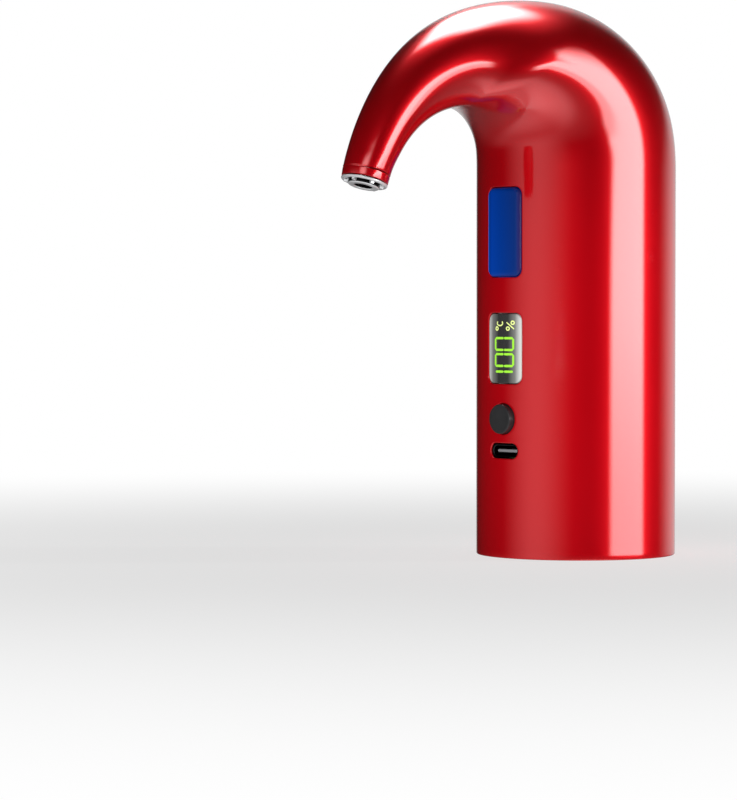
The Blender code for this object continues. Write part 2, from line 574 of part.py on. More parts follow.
def build_housing():
    """Two painted halves with the panel's windows and the screw bosses."""
    front, back = -BODY_RADIUS - OVERRUN, FLANGE_FRONT + OVERRUN
    grow = 2 * WINDOW_GAP
    windows = [
        panel_box("key_window", KEY_WIDTH + grow, KEY_LENGTH + grow, KEY_HEIGHT, KEY_CORNER, front, back),
        panel_box(
            "lens_window", WINDOW_WIDTH + grow, WINDOW_LENGTH + grow, WINDOW_HEIGHT, WINDOW_CORNER, front, back
        ),
        add_cylinder(
            "button_window", BUTTON_RADIUS + WINDOW_GAP, (0, front, BUTTON_HEIGHT), (0, back, BUTTON_HEIGHT)
        ),
        panel_box(
            "port_window", PORT_WIDTH, PORT_LENGTH, PORT_HEIGHT, PORT_LENGTH * ROUND_END_SHARE, front, back
        ),
    ]
    places = list(boss_places())
    for name, side, mine in (("housing_right", 1, places[:2]), ("housing_left", -1, places[2:])):
        half = half_housing(name, side)
        for number, place in enumerate(mine):
            low, high = place + Vector((0, 0, BOSS_BOTTOM)), place + Vector((0, 0, BOSS_BOTTOM + BOSS_LENGTH))
            boss = add_cylinder(f"{name}_boss_{number}", BOSS_RADIUS, low, high)
            reach = INNER_RADIUS + BOSS_WEB_BITE - BOSS_DISTANCE
            low, high = (0, -BOSS_WEB_WIDTH / 2, 0), (reach, BOSS_WEB_WIDTH / 2, BOSS_LENGTH - GAP)
            web = add_box(f"{name}_web_{number}", low, high)
            angle = math.atan2(place.y, place.x)
            middle = place.normalized() * (BOSS_DISTANCE + reach / 2)
            web.location = middle + Vector((0, 0, BOSS_BOTTOM + (BOSS_LENGTH - GAP) / 2 + GAP / 2))
            web.rotation_euler = (0, 0, angle)
            join(half, boss, web)
        for number, place in enumerate(mine):
            low = place + Vector((0, 0, BOSS_BOTTOM - OVERRUN))
            high = place + Vector((0, 0, BOSS_BOTTOM + BOSS_LENGTH - OVERRUN))
            cut(half, add_cylinder(f"{name}_bore_{number}", HOLE_RADIUS, low, high, steps=SMALL_STEPS))
        cut(half, *windows)


def build_nozzle():
    """The red collar that ends the spout, and the plated insert that mixes air into the wine."""
    axis = add_empty("nozzle_axis", (0, -NOZZLE_REACH, NOZZLE_HEIGHT), (-NOZZLE_TILT, 0, 0))
    top_radius = NOZZLE_RADIUS + (housing_end() - NOZZLE_RADIUS) * COLLAR_LENGTH / (COLLAR_LENGTH + SEAM)
    profile = ((COLLAR_BORE, COLLAR_LENGTH), (top_radius, COLLAR_LENGTH), (NOZZLE_RADIUS, 0), (COLLAR_BORE, 0))
    add_turned("nozzle_collar", profile, "red_paint", parent=axis, steps=ROUND_STEPS, ring=True)
    skirt = COLLAR_BORE - SKIRT_GAP
    ring_top, ring_end = -GAP, -GAP - RING_PROUD
    inner = skirt - SKIRT_WALL
    shell = (
        (inner, SKIRT_LENGTH), (skirt, SKIRT_LENGTH), (skirt, ring_top), (NOZZLE_RADIUS, ring_top),
        (NOZZLE_RADIUS, ring_end + RING_CHAMFER), (NOZZLE_RADIUS - RING_CHAMFER, ring_end),
        (COLLAR_BORE, ring_end), (inner, ring_end + RING_PROUD),
    )
    insert = add_turned("aerator_insert", shell, "silver_plate", parent=axis, steps=ROUND_STEPS, ring=True)
    outlet_end = ring_end - OUTLET_PROUD
    outlet = (
        (WINE_BARB_BORE, STEM_LENGTH), (WINE_BARB_RADIUS, STEM_LENGTH), (WINE_BARB_RADIUS, STEM_NECK),
        (OUTLET_RING_RADIUS - SKIRT_WALL, SPOKE_DEPTH), (OUTLET_RING_RADIUS, outlet_end + RING_CHAMFER),
        (OUTLET_RING_RADIUS - RING_CHAMFER, outlet_end), (OUTLET_RADIUS, outlet_end), (OUTLET_RADIUS, 0),
        (WINE_BARB_BORE, STEM_NECK),
    )
    join(insert, add_turned("outlet_tube", outlet, parent=axis, steps=ROUND_STEPS, ring=True))
    for number in range(SPOKE_COUNT):
        reach = (OUTLET_RADIUS + OUTLET_RING_RADIUS) / 2, (inner + skirt) / 2
        bottom = ring_end + RING_CHAMFER
        low, high = (reach[0], -SPOKE_WIDTH / 2, bottom), (reach[1], SPOKE_WIDTH / 2, bottom + SPOKE_DEPTH)
        spoke = add_box(f"spoke_{number}", low, high, parent=axis)
        angle = SPOKE_PHASE - math.pi / 2 + number * 2 * math.pi / SPOKE_COUNT
        spoke.location = Matrix.Rotation(angle, 4, "Z") @ spoke.location
        spoke.rotation_euler = (0, 0, angle)
        join(insert, spoke)


def body_surface(name, raise_by):
    """A cylinder on the body's axis that trims a panel piece to the body's curve."""
    radius = BODY_RADIUS + raise_by
    return add_cylinder(name, radius, (0, 0, 0), (0, 0, SHOULDER_HEIGHT), steps=SURFACE_STEPS)


def build_pour_key():
    """The blue key, its face curved as the body, with a flange that keeps it in its window."""
    axis = add_empty("pour_key_slide", (0, FLANGE_BACK, KEY_HEIGHT))
    front = -BODY_RADIUS - KEY_RAISE - OVERRUN - FLANGE_BACK
    face = FLANGE_FRONT - FLANGE_BACK
    key = panel_box("pour_key", KEY_WIDTH, KEY_LENGTH, 0, KEY_CORNER, front, face / 2, "blue_key", axis)
    combine(key, body_surface("key_curve", KEY_RAISE), "INTERSECT")
    lip = 2 * FLANGE_LIP
    flange = panel_box("key_flange", KEY_WIDTH + lip, KEY_LENGTH + lip, 0, KEY_CORNER, face, 0, parent=axis)
    join(key, flange)


def build_power_button():
    """The round black button, with its flange."""
    axis = add_empty("power_button_slide", (0, FLANGE_BACK, BUTTON_HEIGHT), (math.pi / 2, 0, 0))
    face = FLANGE_BACK - FLANGE_FRONT
    reach = BODY_RADIUS + BUTTON_RAISE + FLANGE_BACK
    profile = (
        (0, reach), (BUTTON_RADIUS - RING_CHAMFER, reach), (BUTTON_RADIUS, reach - RING_CHAMFER),
        (BUTTON_RADIUS, face), (BUTTON_RADIUS + FLANGE_LIP, face), (BUTTON_RADIUS + FLANGE_LIP, 0), (0, 0),
    )
    add_turned("power_button", profile, "black_plastic", parent=axis, steps=ROUND_STEPS)


def build_switch(name, height):
    """A tact switch on the board, and the plunger that its key or button pushes."""
    half = SWITCH_SIDE / 2
    back = BOARD_FRONT - SOLDER_GAP
    front = back - SWITCH_THICKNESS
    body = add_box(name, (-half, front, height - half), (half, back, height + half), "black_plastic")
    well_end = front + PLUNGER_WELL
    well = PLUNGER_RADIUS + GAP
    cut(body, add_cylinder(f"{name}_well", well, (0, front - OVERRUN, height), (0, well_end, height)))
    tip = FLANGE_BACK + GAP
    add_cylinder(
        f"{name}_plunger", PLUNGER_RADIUS, (0, tip + PLUNGER_LENGTH, height), (0, tip, height), "white_plastic"
    )


def build_display():
    """The smoked lens in its window, and the lit module on the board behind it."""
    front = -BODY_RADIUS - OVERRUN
    middle = (FLANGE_FRONT + FLANGE_BACK) / 2
    lens = panel_box(
        "display_lens", WINDOW_WIDTH, WINDOW_LENGTH, WINDOW_HEIGHT, WINDOW_CORNER, front, middle, "dark_lens"
    )
    combine(lens, body_surface("lens_curve", -LENS_RECESS), "INTERSECT")
    lip = 2 * FLANGE_LIP
    wide, long = WINDOW_WIDTH + lip, WINDOW_LENGTH + lip
    flange = panel_box("lens_flange", wide, long, WINDOW_HEIGHT, WINDOW_CORNER, FLANGE_FRONT, FLANGE_BACK)
    join(lens, flange)
    margin = 2 * DISPLAY_SIDE_MARGIN
    panel_box(
        "display_module", WINDOW_WIDTH - margin, WINDOW_LENGTH - margin, WINDOW_HEIGHT, 0,
        FLANGE_BACK + GAP, BOARD_FRONT - SOLDER_GAP, "black_plastic",
    )


def build_charging_socket():
    """The metal shell of the charging port, and the contact tongue in it."""
    wide, long = PORT_WIDTH - 2 * GAP, PORT_LENGTH - 2 * GAP
    front, back = -BODY_RADIUS + SOCKET_RECESS, BOARD_FRONT - SOLDER_GAP
    shell = panel_box("usb_socket", wide, long, PORT_HEIGHT, long * ROUND_END_SHARE, front, back, "dark_steel")
    thin = 2 * SOCKET_WALL
    deep = front + TONGUE_RECESS + TONGUE_LENGTH + GAP
    room = panel_box(
        "usb_room", wide - thin, long - thin, PORT_HEIGHT, (long - thin) * ROUND_END_SHARE,
        front - OVERRUN, deep,
    )
    cut(shell, room)
    start = front + TONGUE_RECESS
    panel_box(
        "usb_tongue", TONGUE_WIDTH, TONGUE_THICKNESS, PORT_HEIGHT, 0, start, start + TONGUE_LENGTH,
        "grey_plastic",
    )


def build_board():
    """The circuit board with its chip and its two wire connectors."""
    half = BOARD_WIDTH / 2
    low, high = (-half, BOARD_FRONT, BOARD_BOTTOM), (half, BOARD_BACK, BOARD_TOP)
    board = add_box("circuit_board", low, high, "board_green")
    for side in (-1, 1):
        x = side * BOARD_SCREW_SIDE
        z = BRIDGE_BOTTOM - LUG_LENGTH / 2
        front, back = (x, BOARD_FRONT - OVERRUN, z), (x, BOARD_BACK + OVERRUN, z)
        cut(board, add_cylinder(f"board_hole_{side}", HOLE_RADIUS, front, back))
    back = BOARD_BACK + SOLDER_GAP
    half = CHIP_SIDE / 2
    middle = WINDOW_HEIGHT + CHIP_ABOVE_WINDOW_MIDDLE
    low, high = (-half, back, middle - half), (half, back + CHIP_THICKNESS, middle + half)
    add_box("controller_chip", low, high, "black_plastic")
    for name, side, height in (
        ("battery_connector", 1, BATTERY_CONNECTOR_HEIGHT), ("motor_connector", -1, MOTOR_CONNECTOR_HEIGHT)
    ):
        x = side * CONNECTOR_SIDE
        low = (x - CONNECTOR_WIDTH / 2, back, height - CONNECTOR_LENGTH / 2)
        high = (x + CONNECTOR_WIDTH / 2, back + CONNECTOR_DEPTH, height + CONNECTOR_LENGTH / 2)
        add_box(name, low, high, "white_plastic")


def build_chassis():
    """The moulded frame: a disc over the cup, a spine, and a bridge with a lug for the board."""
    profile = ((0, DISC_TOP), (LINER_RADIUS, DISC_TOP), (LINER_RADIUS, DISC_BOTTOM), (0, DISC_BOTTOM))
    chassis = add_turned("chassis", profile, "grey_plastic", steps=ROUND_STEPS)
    low = (SPINE_LEFT, SPINE_NEAR, DISC_BOTTOM + GAP)
    spine = add_box("chassis_spine", low, (SPINE_RIGHT, SPINE_FAR, CHASSIS_TOP))
    lug_front = BOARD_BACK + GAP
    half = BRIDGE_WIDTH / 2
    low = (-half, lug_front + GAP, BRIDGE_BOTTOM)
    bridge = add_box("chassis_bridge", low, (half, SPINE_FAR - GAP, CHASSIS_TOP + GAP))
    half = BOARD_SCREW_SIDE + LUG_EDGE
    low = (-half, lug_front, BRIDGE_BOTTOM - LUG_LENGTH)
    lug = add_box("chassis_lug", low, (half, lug_front + LUG_DEPTH, BRIDGE_BOTTOM + BRIDGE_THICKNESS / 2))
    join(chassis, spine, bridge, lug)
    room = GAP + OVERRUN / 2
    bottom, top = DISC_BOTTOM - OVERRUN, DISC_TOP + OVERRUN
    window = add_box(
        "inlet_window",
        (-WINE_INLET_FLANGE - room, WINE_Y - WINE_INLET_FLANGE - room, bottom),
        (AIR_X + AIR_INLET_FLANGE + room, AIR_Y + AIR_INLET_FLANGE + GAP, top),
    )
    notch = add_box("board_notch", (-BODY_RADIUS, -BODY_RADIUS, bottom), (BODY_RADIUS, BOARD_BACK + GAP, top))
    way = WINE_TUBE_RADIUS + GAP + OVERRUN / 2
    tube_hole = add_cylinder(
        "tube_hole", way, (0, WINE_Y, BRIDGE_BOTTOM - OVERRUN), (0, WINE_Y, CHASSIS_TOP + OVERRUN)
    )
    cut(chassis, window, notch, tube_hole)
    for number, place in enumerate(boss_places()):
        low, high = place + Vector((0, 0, bottom)), place + Vector((0, 0, top))
        cut(chassis, add_cylinder(f"disc_hole_{number}", HOLE_RADIUS, low, high))
    for side in (-1, 1):
        x = side * BOARD_SCREW_SIDE
        z = BRIDGE_BOTTOM - LUG_LENGTH / 2
        front, back = (x, lug_front - OVERRUN, z), (x, lug_front + LUG_DEPTH - OVERRUN / 2, z)
        cut(chassis, add_cylinder(f"lug_hole_{side}", HOLE_RADIUS, front, back))
    for name, z in (("pump", PUMP_CLAMP_HEIGHT), ("cell", CELL_CLAMP_HEIGHT)):
        left, right = (SPINE_LEFT - OVERRUN, clamp_screw_y(), z), (SPINE_RIGHT + OVERRUN, clamp_screw_y(), z)
        cut(chassis, add_cylinder(f"{name}_spine_hole", HOLE_RADIUS, left, right))


def clamp_screw_y():
    return (SPINE_NEAR + SPINE_FAR) / 2 - OVERRUN


def build_clamps():
    """Two plastic straps, each screwed to the spine from its far side."""
    tab_half = CLAMP_WIDTH / 2
    y = clamp_screw_y()
    pump = add_empty("pump_clamp_axis", (PUMP_X, PUMP_Y, 0))
    cell = add_empty("cell_clamp_axis", (CELL_X, CELL_Y, 0))
    straps = (
        ("pump_clamp", pump, MOTOR_RADIUS + GAP, CLAMP_THICKNESS, PUMP_CLAMP_HEIGHT, -1, PUMP_CLAMP_MIDDLE),
        ("battery_clamp", cell, CELL_RADIUS + GAP, CELL_CLAMP_THICKNESS, CELL_CLAMP_HEIGHT, 1, CELL_CLAMP_MIDDLE),
    )
    for name, axis, bore, thick, z, side, middle in straps:
        radius, low, high = bore + thick / 2, z - tab_half, z + tab_half
        strap = add_arc_wall(name, radius, thick, low, high, middle, CLAMP_SPAN, "black_plastic", axis)
        spine_face = SPINE_SIDE + side * (SPINE_THICKNESS / 2 + GAP)
        reach = tab_reach(axis.location, radius, y - CLAMP_WIDTH / 2)
        low = (min(spine_face, reach), y - CLAMP_WIDTH / 2, z - tab_half)
        high = (max(spine_face, reach), y + CLAMP_WIDTH / 2, z + tab_half)
        join(strap, add_box(f"{name}_tab", low, high))
        hole_start, hole_end = (spine_face - side * OVERRUN, y, z), (reach + side * OVERRUN, y, z)
        cut(strap, add_cylinder(f"{name}_hole", HOLE_RADIUS, hole_start, hole_end))
        far_face = SPINE_SIDE - side * (SPINE_THICKNESS / 2 + GAP)
        add_screw(f"{name}_screw", (far_face, y, z), (side, 0, 0), CLAMP_SCREW_LENGTH)


def tab_reach(middle, radius, y):
    """The X where a strap's centre line meets the near edge of its tab, on the spine's side."""
    across = math.sqrt(radius**2 - (y - middle.y) ** 2)
    return middle.x - math.copysign(across, middle.x)


def add_screw(name, seat, direction, length):
    """A pan-head screw whose head rests at the seat and whose shank follows the direction."""
    profile = (
        (0, 0), (HEAD_RADIUS - RING_CHAMFER, 0), (HEAD_RADIUS, -RING_CHAMFER), (HEAD_RADIUS, -HEAD_THICKNESS),
        (SHANK_RADIUS, -HEAD_THICKNESS), (SHANK_RADIUS, -HEAD_THICKNESS - length + RING_CHAMFER),
        (0, -HEAD_THICKNESS - length),
    )
    way = Vector(direction)
    made = add_turned(name, profile, "steel", Vector(seat) - way * HEAD_THICKNESS, steps=SCREW_STEPS)
    made.rotation_euler = (-way).to_track_quat("Z", "Y").to_euler()
    return made


def build_screws():
    """Four screws up through the cup and chassis into the bosses, and two through the board."""
    for number, place in enumerate(boss_places(), 1):
        seat = place + Vector((0, 0, SOCKET_DEPTH - GAP))
        add_screw(f"base_screw_{number}", seat, (0, 0, 1), BASE_SCREW_LENGTH)
    for number, side in enumerate((-1, 1), 1):
        seat = (side * BOARD_SCREW_SIDE, BOARD_FRONT - GAP, BRIDGE_BOTTOM - LUG_LENGTH / 2)
        add_screw(f"board_screw_{number}", seat, (0, 1, 0), BOARD_SCREW_LENGTH)


def build_motor():
    """The motor: its can, end cap, magnets and bush, and the rotor's pieces that turn on its axis."""
    axis = add_empty("motor_axis", (PUMP_X, PUMP_Y, 0))
    bore = MOTOR_RADIUS - MOTOR_WALL
    shaft_hole = SHAFT_RADIUS + GAP
    plug = bore - GAP
    plug_top = CAN_BOTTOM + END_CAP_PLUG
    flange_top = MOTOR_BOTTOM + END_CAP_FLANGE
    cap = (
        (shaft_hole, plug_top), (plug, plug_top), (plug, flange_top), (MOTOR_RADIUS, flange_top),
        (MOTOR_RADIUS, MOTOR_BOTTOM), (shaft_hole, MOTOR_BOTTOM),
    )
    add_turned("motor_end_cap", cap, "white_plastic", parent=axis, ring=True, steps=ROUND_STEPS)
    plate = CAN_TOP - MOTOR_WALL
    neck_hole = BUSH_RADIUS + GAP
    can = (
        (neck_hole, CAN_TOP), (MOTOR_RADIUS, CAN_TOP), (MOTOR_RADIUS, CAN_BOTTOM), (bore, CAN_BOTTOM),
        (bore, plate), (neck_hole, plate),
    )
    add_turned("motor_can", can, "steel", parent=axis, ring=True, steps=ROUND_STEPS)
    bush_top = CAN_TOP + BUSH_FLANGE_THICKNESS - GAP
    flange_low = plate - GAP - BUSH_FLANGE_THICKNESS
    bush = (
        (shaft_hole, bush_top), (BUSH_RADIUS, bush_top), (BUSH_RADIUS, plate - GAP), (BUSH_FLANGE, plate - GAP),
        (BUSH_FLANGE, flange_low), (shaft_hole, flange_low),
    )
    add_turned("shaft_bush", bush, "brass", parent=axis, ring=True)
    magnet_bottom = flange_low - MAGNET_LENGTH - GAP
    magnet_middle = bore - GAP - MAGNET_THICKNESS / 2
    for number, angle in enumerate((0, math.pi), 1):
        add_arc_wall(
            f"magnet_{number}", magnet_middle, MAGNET_THICKNESS, magnet_bottom, magnet_bottom + MAGNET_LENGTH,
            angle, MAGNET_SPAN, "magnet", axis,
        )
    poles = bore - GAP - MAGNET_THICKNESS - AIR_BETWEEN_POLES
    low = magnet_bottom + (MAGNET_LENGTH - ARMATURE_LENGTH) / 2
    armature = add_ring(
        "armature", poles, shaft_hole, low, low + ARMATURE_LENGTH, "copper", parent=axis, steps=ROUND_STEPS
    )
    for number in range(SLOT_COUNT):
        angle = 2 * math.pi * number / SLOT_COUNT
        start, end = (poles - SLOT_DEPTH, -SLOT_WIDTH / 2, low - OVERRUN), (poles + OVERRUN, SLOT_WIDTH / 2, 0)
        slot = add_box(f"slot_{number}", start, (*end[:2], low + ARMATURE_LENGTH + OVERRUN), parent=axis)
        slot.location = Matrix.Rotation(angle, 4, "Z") @ slot.location
        slot.rotation_euler = (0, 0, angle)
        cut(armature, slot)
    top = low - GAP
    add_ring("commutator", COMMUTATOR_RADIUS, shaft_hole, top - COMMUTATOR_LENGTH, top, "brass", parent=axis)
    shaft_bottom = MOTOR_BOTTOM + GAP
    shaft = (
        (0, eccentric_top() - GAP), (SHAFT_RADIUS, eccentric_top() - GAP), (SHAFT_RADIUS, shaft_bottom),
        (0, shaft_bottom),
    )
    add_turned("motor_shaft", shaft, "steel", parent=axis)
    bottom = eccentric_top() - ECCENTRIC_LENGTH
    eccentric = add_ring(
        "eccentric", ECCENTRIC_RADIUS, shaft_hole, bottom, eccentric_top(), "white_plastic", parent=axis
    )
    reach = PIN_OFFSET + shaft_hole
    root, end = (reach, 0, bottom + GAP), (reach, 0, eccentric_top() + PIN_LENGTH)
    join(eccentric, add_cylinder("eccentric_pin", PIN_RADIUS, root, end, parent=axis))


def eccentric_top():
    return DRIVE_BOTTOM - GAP


def build_pump_head():
    """The head: its case, drive plate, diaphragm, valve plate and the cap with the air nipple."""
    axis = add_empty("pump_head_axis", (PUMP_X, PUMP_Y, 0))
    bore = HEAD_CASE_RADIUS - HEAD_CASE_WALL
    floor = HEAD_BOTTOM + BUSH_FLANGE_THICKNESS
    hole = BUSH_RADIUS + GAP
    case = (
        (hole, floor), (bore, floor), (bore, HEAD_TOP), (HEAD_CASE_RADIUS, HEAD_TOP),
        (HEAD_CASE_RADIUS, HEAD_BOTTOM), (hole, HEAD_BOTTOM),
    )
    add_turned("pump_head_case", case, "black_plastic", parent=axis, ring=True, steps=ROUND_STEPS)
    orbit = PIN_OFFSET + SHAFT_RADIUS + GAP + PIN_RADIUS + GAP
    drive = add_ring(
        "drive_plate", orbit + DRIVE_RIM, orbit, DRIVE_BOTTOM, DRIVE_TOP, "white_plastic", parent=axis
    )
    diaphragm = add_cylinder(
        "diaphragm", HEAD_CASE_RADIUS, (0, 0, DIAPHRAGM_BOTTOM), (0, 0, DIAPHRAGM_TOP), "black_silicone", axis,
        ROUND_STEPS,
    )
    plate_top = VALVE_PLATE_BOTTOM + VALVE_PLATE_THICKNESS
    plate = add_cylinder(
        "valve_plate", HEAD_CASE_RADIUS, (0, 0, VALVE_PLATE_BOTTOM), (0, 0, plate_top), "white_plastic", axis,
        ROUND_STEPS,
    )
    for number in range(CHAMBER_COUNT):
        angle = 2 * math.pi * number / CHAMBER_COUNT
        turn = Matrix.Rotation(angle, 4, "Z")
        low, high = (orbit + GAP, -ARM_WIDTH / 2, DRIVE_BOTTOM), (ARM_REACH, ARM_WIDTH / 2, DRIVE_TOP)
        arm = add_box(f"drive_arm_{number}", low, high, parent=axis)
        arm.location = turn @ arm.location
        arm.rotation_euler = (0, 0, angle)
        join(drive, arm)
        middle = turn @ Vector((CHAMBER_DISTANCE, 0, 0))
        heights = [Vector((0, 0, z)) for z in (
            DIAPHRAGM_BOTTOM - CHAMBER_DEPTH, DIAPHRAGM_BOTTOM + DIAPHRAGM_THICKNESS / 2,
            DIAPHRAGM_BOTTOM - CHAMBER_DEPTH + CHAMBER_WALL, DIAPHRAGM_TOP + OVERRUN,
        )]
        low, high, room_low, room_high = (middle + height for height in heights)
        cup = add_cylinder(f"chamber_{number}", CHAMBER_RADIUS, low, high, parent=axis)
        room = CHAMBER_RADIUS - CHAMBER_WALL
        hollow = add_cylinder(f"chamber_room_{number}", room, room_low, room_high, parent=axis)
        join(diaphragm, cup)
        cut(diaphragm, hollow)
        low = middle + Vector((0, 0, VALVE_PLATE_BOTTOM - OVERRUN))
        high = middle + Vector((0, 0, plate_top + OVERRUN))
        cut(plate, add_cylinder(f"valve_port_{number}", VALVE_PORT_RADIUS, low, high, parent=axis))
    barb_top = PUMP_CAP_TOP + BARB_LENGTH
    cap = (
        (AIR_BARB_BORE, barb_top), (AIR_BARB_RADIUS, barb_top), (AIR_BARB_RADIUS, PUMP_CAP_TOP),
        (HEAD_CASE_RADIUS, PUMP_CAP_TOP), (HEAD_CASE_RADIUS, PUMP_CAP_BOTTOM), (AIR_BARB_BORE, PUMP_CAP_BOTTOM),
    )
    add_turned("pump_cap", cap, "black_plastic", parent=axis, ring=True, steps=ROUND_STEPS)


def build_air_line():
    """The hoses and the one-way valve between the pump's nipple and the air inlet."""
    valve_top = VALVE_BOTTOM + VALVE_LENGTH
    start, end = Vector((PUMP_X, PUMP_Y, PUMP_CAP_TOP + GAP)), Vector((AIR_X, AIR_Y, valve_top + GAP))
    half_span = Vector((end.x - start.x, end.y - start.y, 0)) / 2
    spring = BRIDGE_BOTTOM - AIR_LOOP_CLEARANCE - AIR_TUBE_RADIUS - half_span.length
    middle = Vector((start.x, start.y, spring)) + half_span
    loop = [
        middle - half_span * math.cos(math.pi * step / LOOP_STEPS)
        + Vector((0, 0, half_span.length * math.sin(math.pi * step / LOOP_STEPS)))
        for step in range(LOOP_STEPS + 1)
    ]
    add_hose("air_tube_upper", [start, *loop, end], AIR_TUBE_RADIUS, AIR_TUBE_BORE, "clear_silicone")
    room = VALVE_RADIUS - VALVE_WALL
    low, high = VALVE_BOTTOM - BARB_LENGTH, valve_top + BARB_LENGTH
    room_low, room_high = VALVE_BOTTOM + VALVE_END, valve_top - VALVE_END
    body = (
        (AIR_BARB_BORE, high), (AIR_BARB_RADIUS, high), (AIR_BARB_RADIUS, valve_top), (VALVE_RADIUS, valve_top),
        (VALVE_RADIUS, VALVE_BOTTOM), (AIR_BARB_RADIUS, VALVE_BOTTOM), (AIR_BARB_RADIUS, low),
        (AIR_BARB_BORE, low), (AIR_BARB_BORE, room_low), (room, room_low), (room, room_high),
        (AIR_BARB_BORE, room_high),
    )
    place = (AIR_X, AIR_Y, 0)
    add_turned("check_valve_body", body, "white_plastic", place, ring=True)
    wide = room - GAP
    top, bottom = room_high - GAP, room_low + GAP
    step = top - DUCKBILL_THICKNESS
    bill = (
        (DUCKBILL_BORE, top), (wide, top), (wide, step), (DUCKBILL_TIP, bottom), (DUCKBILL_BORE, bottom),
    )
    add_turned("check_valve_bill", bill, "clear_silicone", place, ring=True)
    tube_bottom = CUP_TOP + GAP + INLET_FLANGE_THICKNESS + GAP
    add_ring(
        "air_tube_lower", AIR_TUBE_RADIUS, AIR_TUBE_BORE, tube_bottom, VALVE_BOTTOM - GAP, "clear_silicone",
        place,
    )
    flange_bottom = CUP_TOP + GAP
    flange_top = flange_bottom + INLET_FLANGE_THICKNESS
    barb_top, end = flange_top + WINE_BARB_LENGTH, INLET_RIM_GAP
    inlet = (
        (AIR_BARB_BORE, barb_top), (AIR_BARB_RADIUS, barb_top), (AIR_BARB_RADIUS, flange_top),
        (AIR_INLET_FLANGE, flange_top), (AIR_INLET_FLANGE, flange_bottom), (AIR_INLET_RADIUS, flange_bottom),
        (AIR_INLET_RADIUS, end), (AIR_BARB_BORE, end),
    )
    add_turned("air_inlet", inlet, "steel", place, ring=True)


def wine_route():
    """The wine tube's centre line: up beside the body's axis, then along the middle of the spout."""
    flow, _ = nozzle_axes()
    start = CUP_TOP + GAP + INLET_FLANGE_THICKNESS + GAP
    tip = Vector((NOZZLE_REACH, NOZZLE_HEIGHT))
    middles = [sum(spout_section(share), Vector((0, 0))) / 2 for share in SPOUT_ROUTE_SHARES]
    bend = Vector((-WINE_Y, SHOULDER_HEIGHT))
    corner = sum(shoulder_section(SHOULDER_ROUTE_SHARE), Vector((0, 0))) / 2
    nozzle_start, nozzle_end = tip - (STEM_LENGTH + OVERRUN) * flow, tip - (STEM_NECK + GAP) * flow
    bent = smooth_route([bend, corner, *middles, nozzle_start], ROUTE_STEPS)
    points = [Vector((0, -p.x, p.y)) for p in [*bent, nozzle_end]]
    return [Vector((0, WINE_Y, start)), *points]


def build_wine_line():
    """The steel inlet in the stopper, and the silicone tube from it to the nozzle's stem."""
    flange_bottom = CUP_TOP + GAP
    flange_top = flange_bottom + INLET_FLANGE_THICKNESS
    barb_top = flange_top + WINE_BARB_LENGTH
    end = INLET_RIM_GAP
    ridge = WINE_INLET_RADIUS + HOSE_RIDGE
    inlet = (
        (WINE_BARB_BORE, barb_top), (WINE_BARB_RADIUS, barb_top), (WINE_BARB_RADIUS, flange_top),
        (WINE_INLET_FLANGE, flange_top), (WINE_INLET_FLANGE, flange_bottom),
        (WINE_INLET_RADIUS, flange_bottom), (WINE_INLET_RADIUS, end + HOSE_RIDGE_LENGTH),
        (ridge, end + HOSE_RIDGE_LENGTH), (WINE_INLET_RADIUS, end), (WINE_BARB_BORE, end),
    )
    add_turned("wine_inlet", inlet, "steel", (0, WINE_Y, 0), ring=True)
    add_hose("wine_tube", wine_route(), WINE_TUBE_RADIUS, WINE_TUBE_BORE, "clear_silicone")


def stopper_profile():
    """A taper from the cup's floor towards the rim, with ribs that point up."""
    top, bottom = SOCKET_DEPTH - GAP, STOPPER_RIM_GAP
    length = top - bottom

    def radius(z):
        return STOPPER_END_RADIUS + (STOPPER_TOP_RADIUS - STOPPER_END_RADIUS) * (z - bottom) / length

    profile = [(0, top), (STOPPER_TOP_RADIUS, top)]
    for number in range(RIB_COUNT):
        z = top - length * (RIB_START_SHARE + RIB_PITCH_SHARE * number)
        profile += [(radius(z), z), (radius(z) + RIB_REACH, z), (radius(z - RIB_LENGTH), z - RIB_LENGTH)]
    return [*profile, (STOPPER_END_RADIUS, bottom), (0, bottom)]


def build_base():
    """The cup that lines the socket, the gasket for the bottle's lip and the ribbed stopper."""
    profile = (
        (0, CUP_TOP), (LINER_RADIUS, CUP_TOP), (LINER_RADIUS, CUP_RECESS),
        (LINER_RADIUS - CUP_WALL, CUP_RECESS), (LINER_RADIUS - CUP_WALL, SOCKET_DEPTH), (0, SOCKET_DEPTH),
    )
    cup = add_turned("base_cup", profile, "black_plastic", steps=ROUND_STEPS)
    add_ring(
        "mouth_gasket", GASKET_RADIUS, GASKET_BORE, GASKET_BOTTOM, GASKET_TOP, "black_silicone",
        steps=ROUND_STEPS,
    )
    stopper = add_turned("stopper", stopper_profile(), "black_silicone", steps=ROUND_STEPS)
    lines = (("wine", (0, WINE_Y), WINE_INLET_RADIUS), ("air", (AIR_X, AIR_Y), AIR_INLET_RADIUS))
    for name, (x, y), radius in lines:
        wide = radius + GAP
        top, floor, end = CUP_TOP + OVERRUN, SOCKET_DEPTH - OVERRUN, STOPPER_RIM_GAP - OVERRUN
        cut(cup, add_cylinder(f"{name}_cup_hole", wide, (x, y, floor), (x, y, top)))
        cut(stopper, add_cylinder(f"{name}_stopper_hole", wide, (x, y, end), (x, y, SOCKET_DEPTH + OVERRUN)))
    for number, place in enumerate(boss_places()):
        low, high = Vector((0, 0, SOCKET_DEPTH - OVERRUN)), Vector((0, 0, CUP_TOP + OVERRUN))
        cut(cup, add_cylinder(f"cup_hole_{number}", HOLE_RADIUS, place + low, place + high))


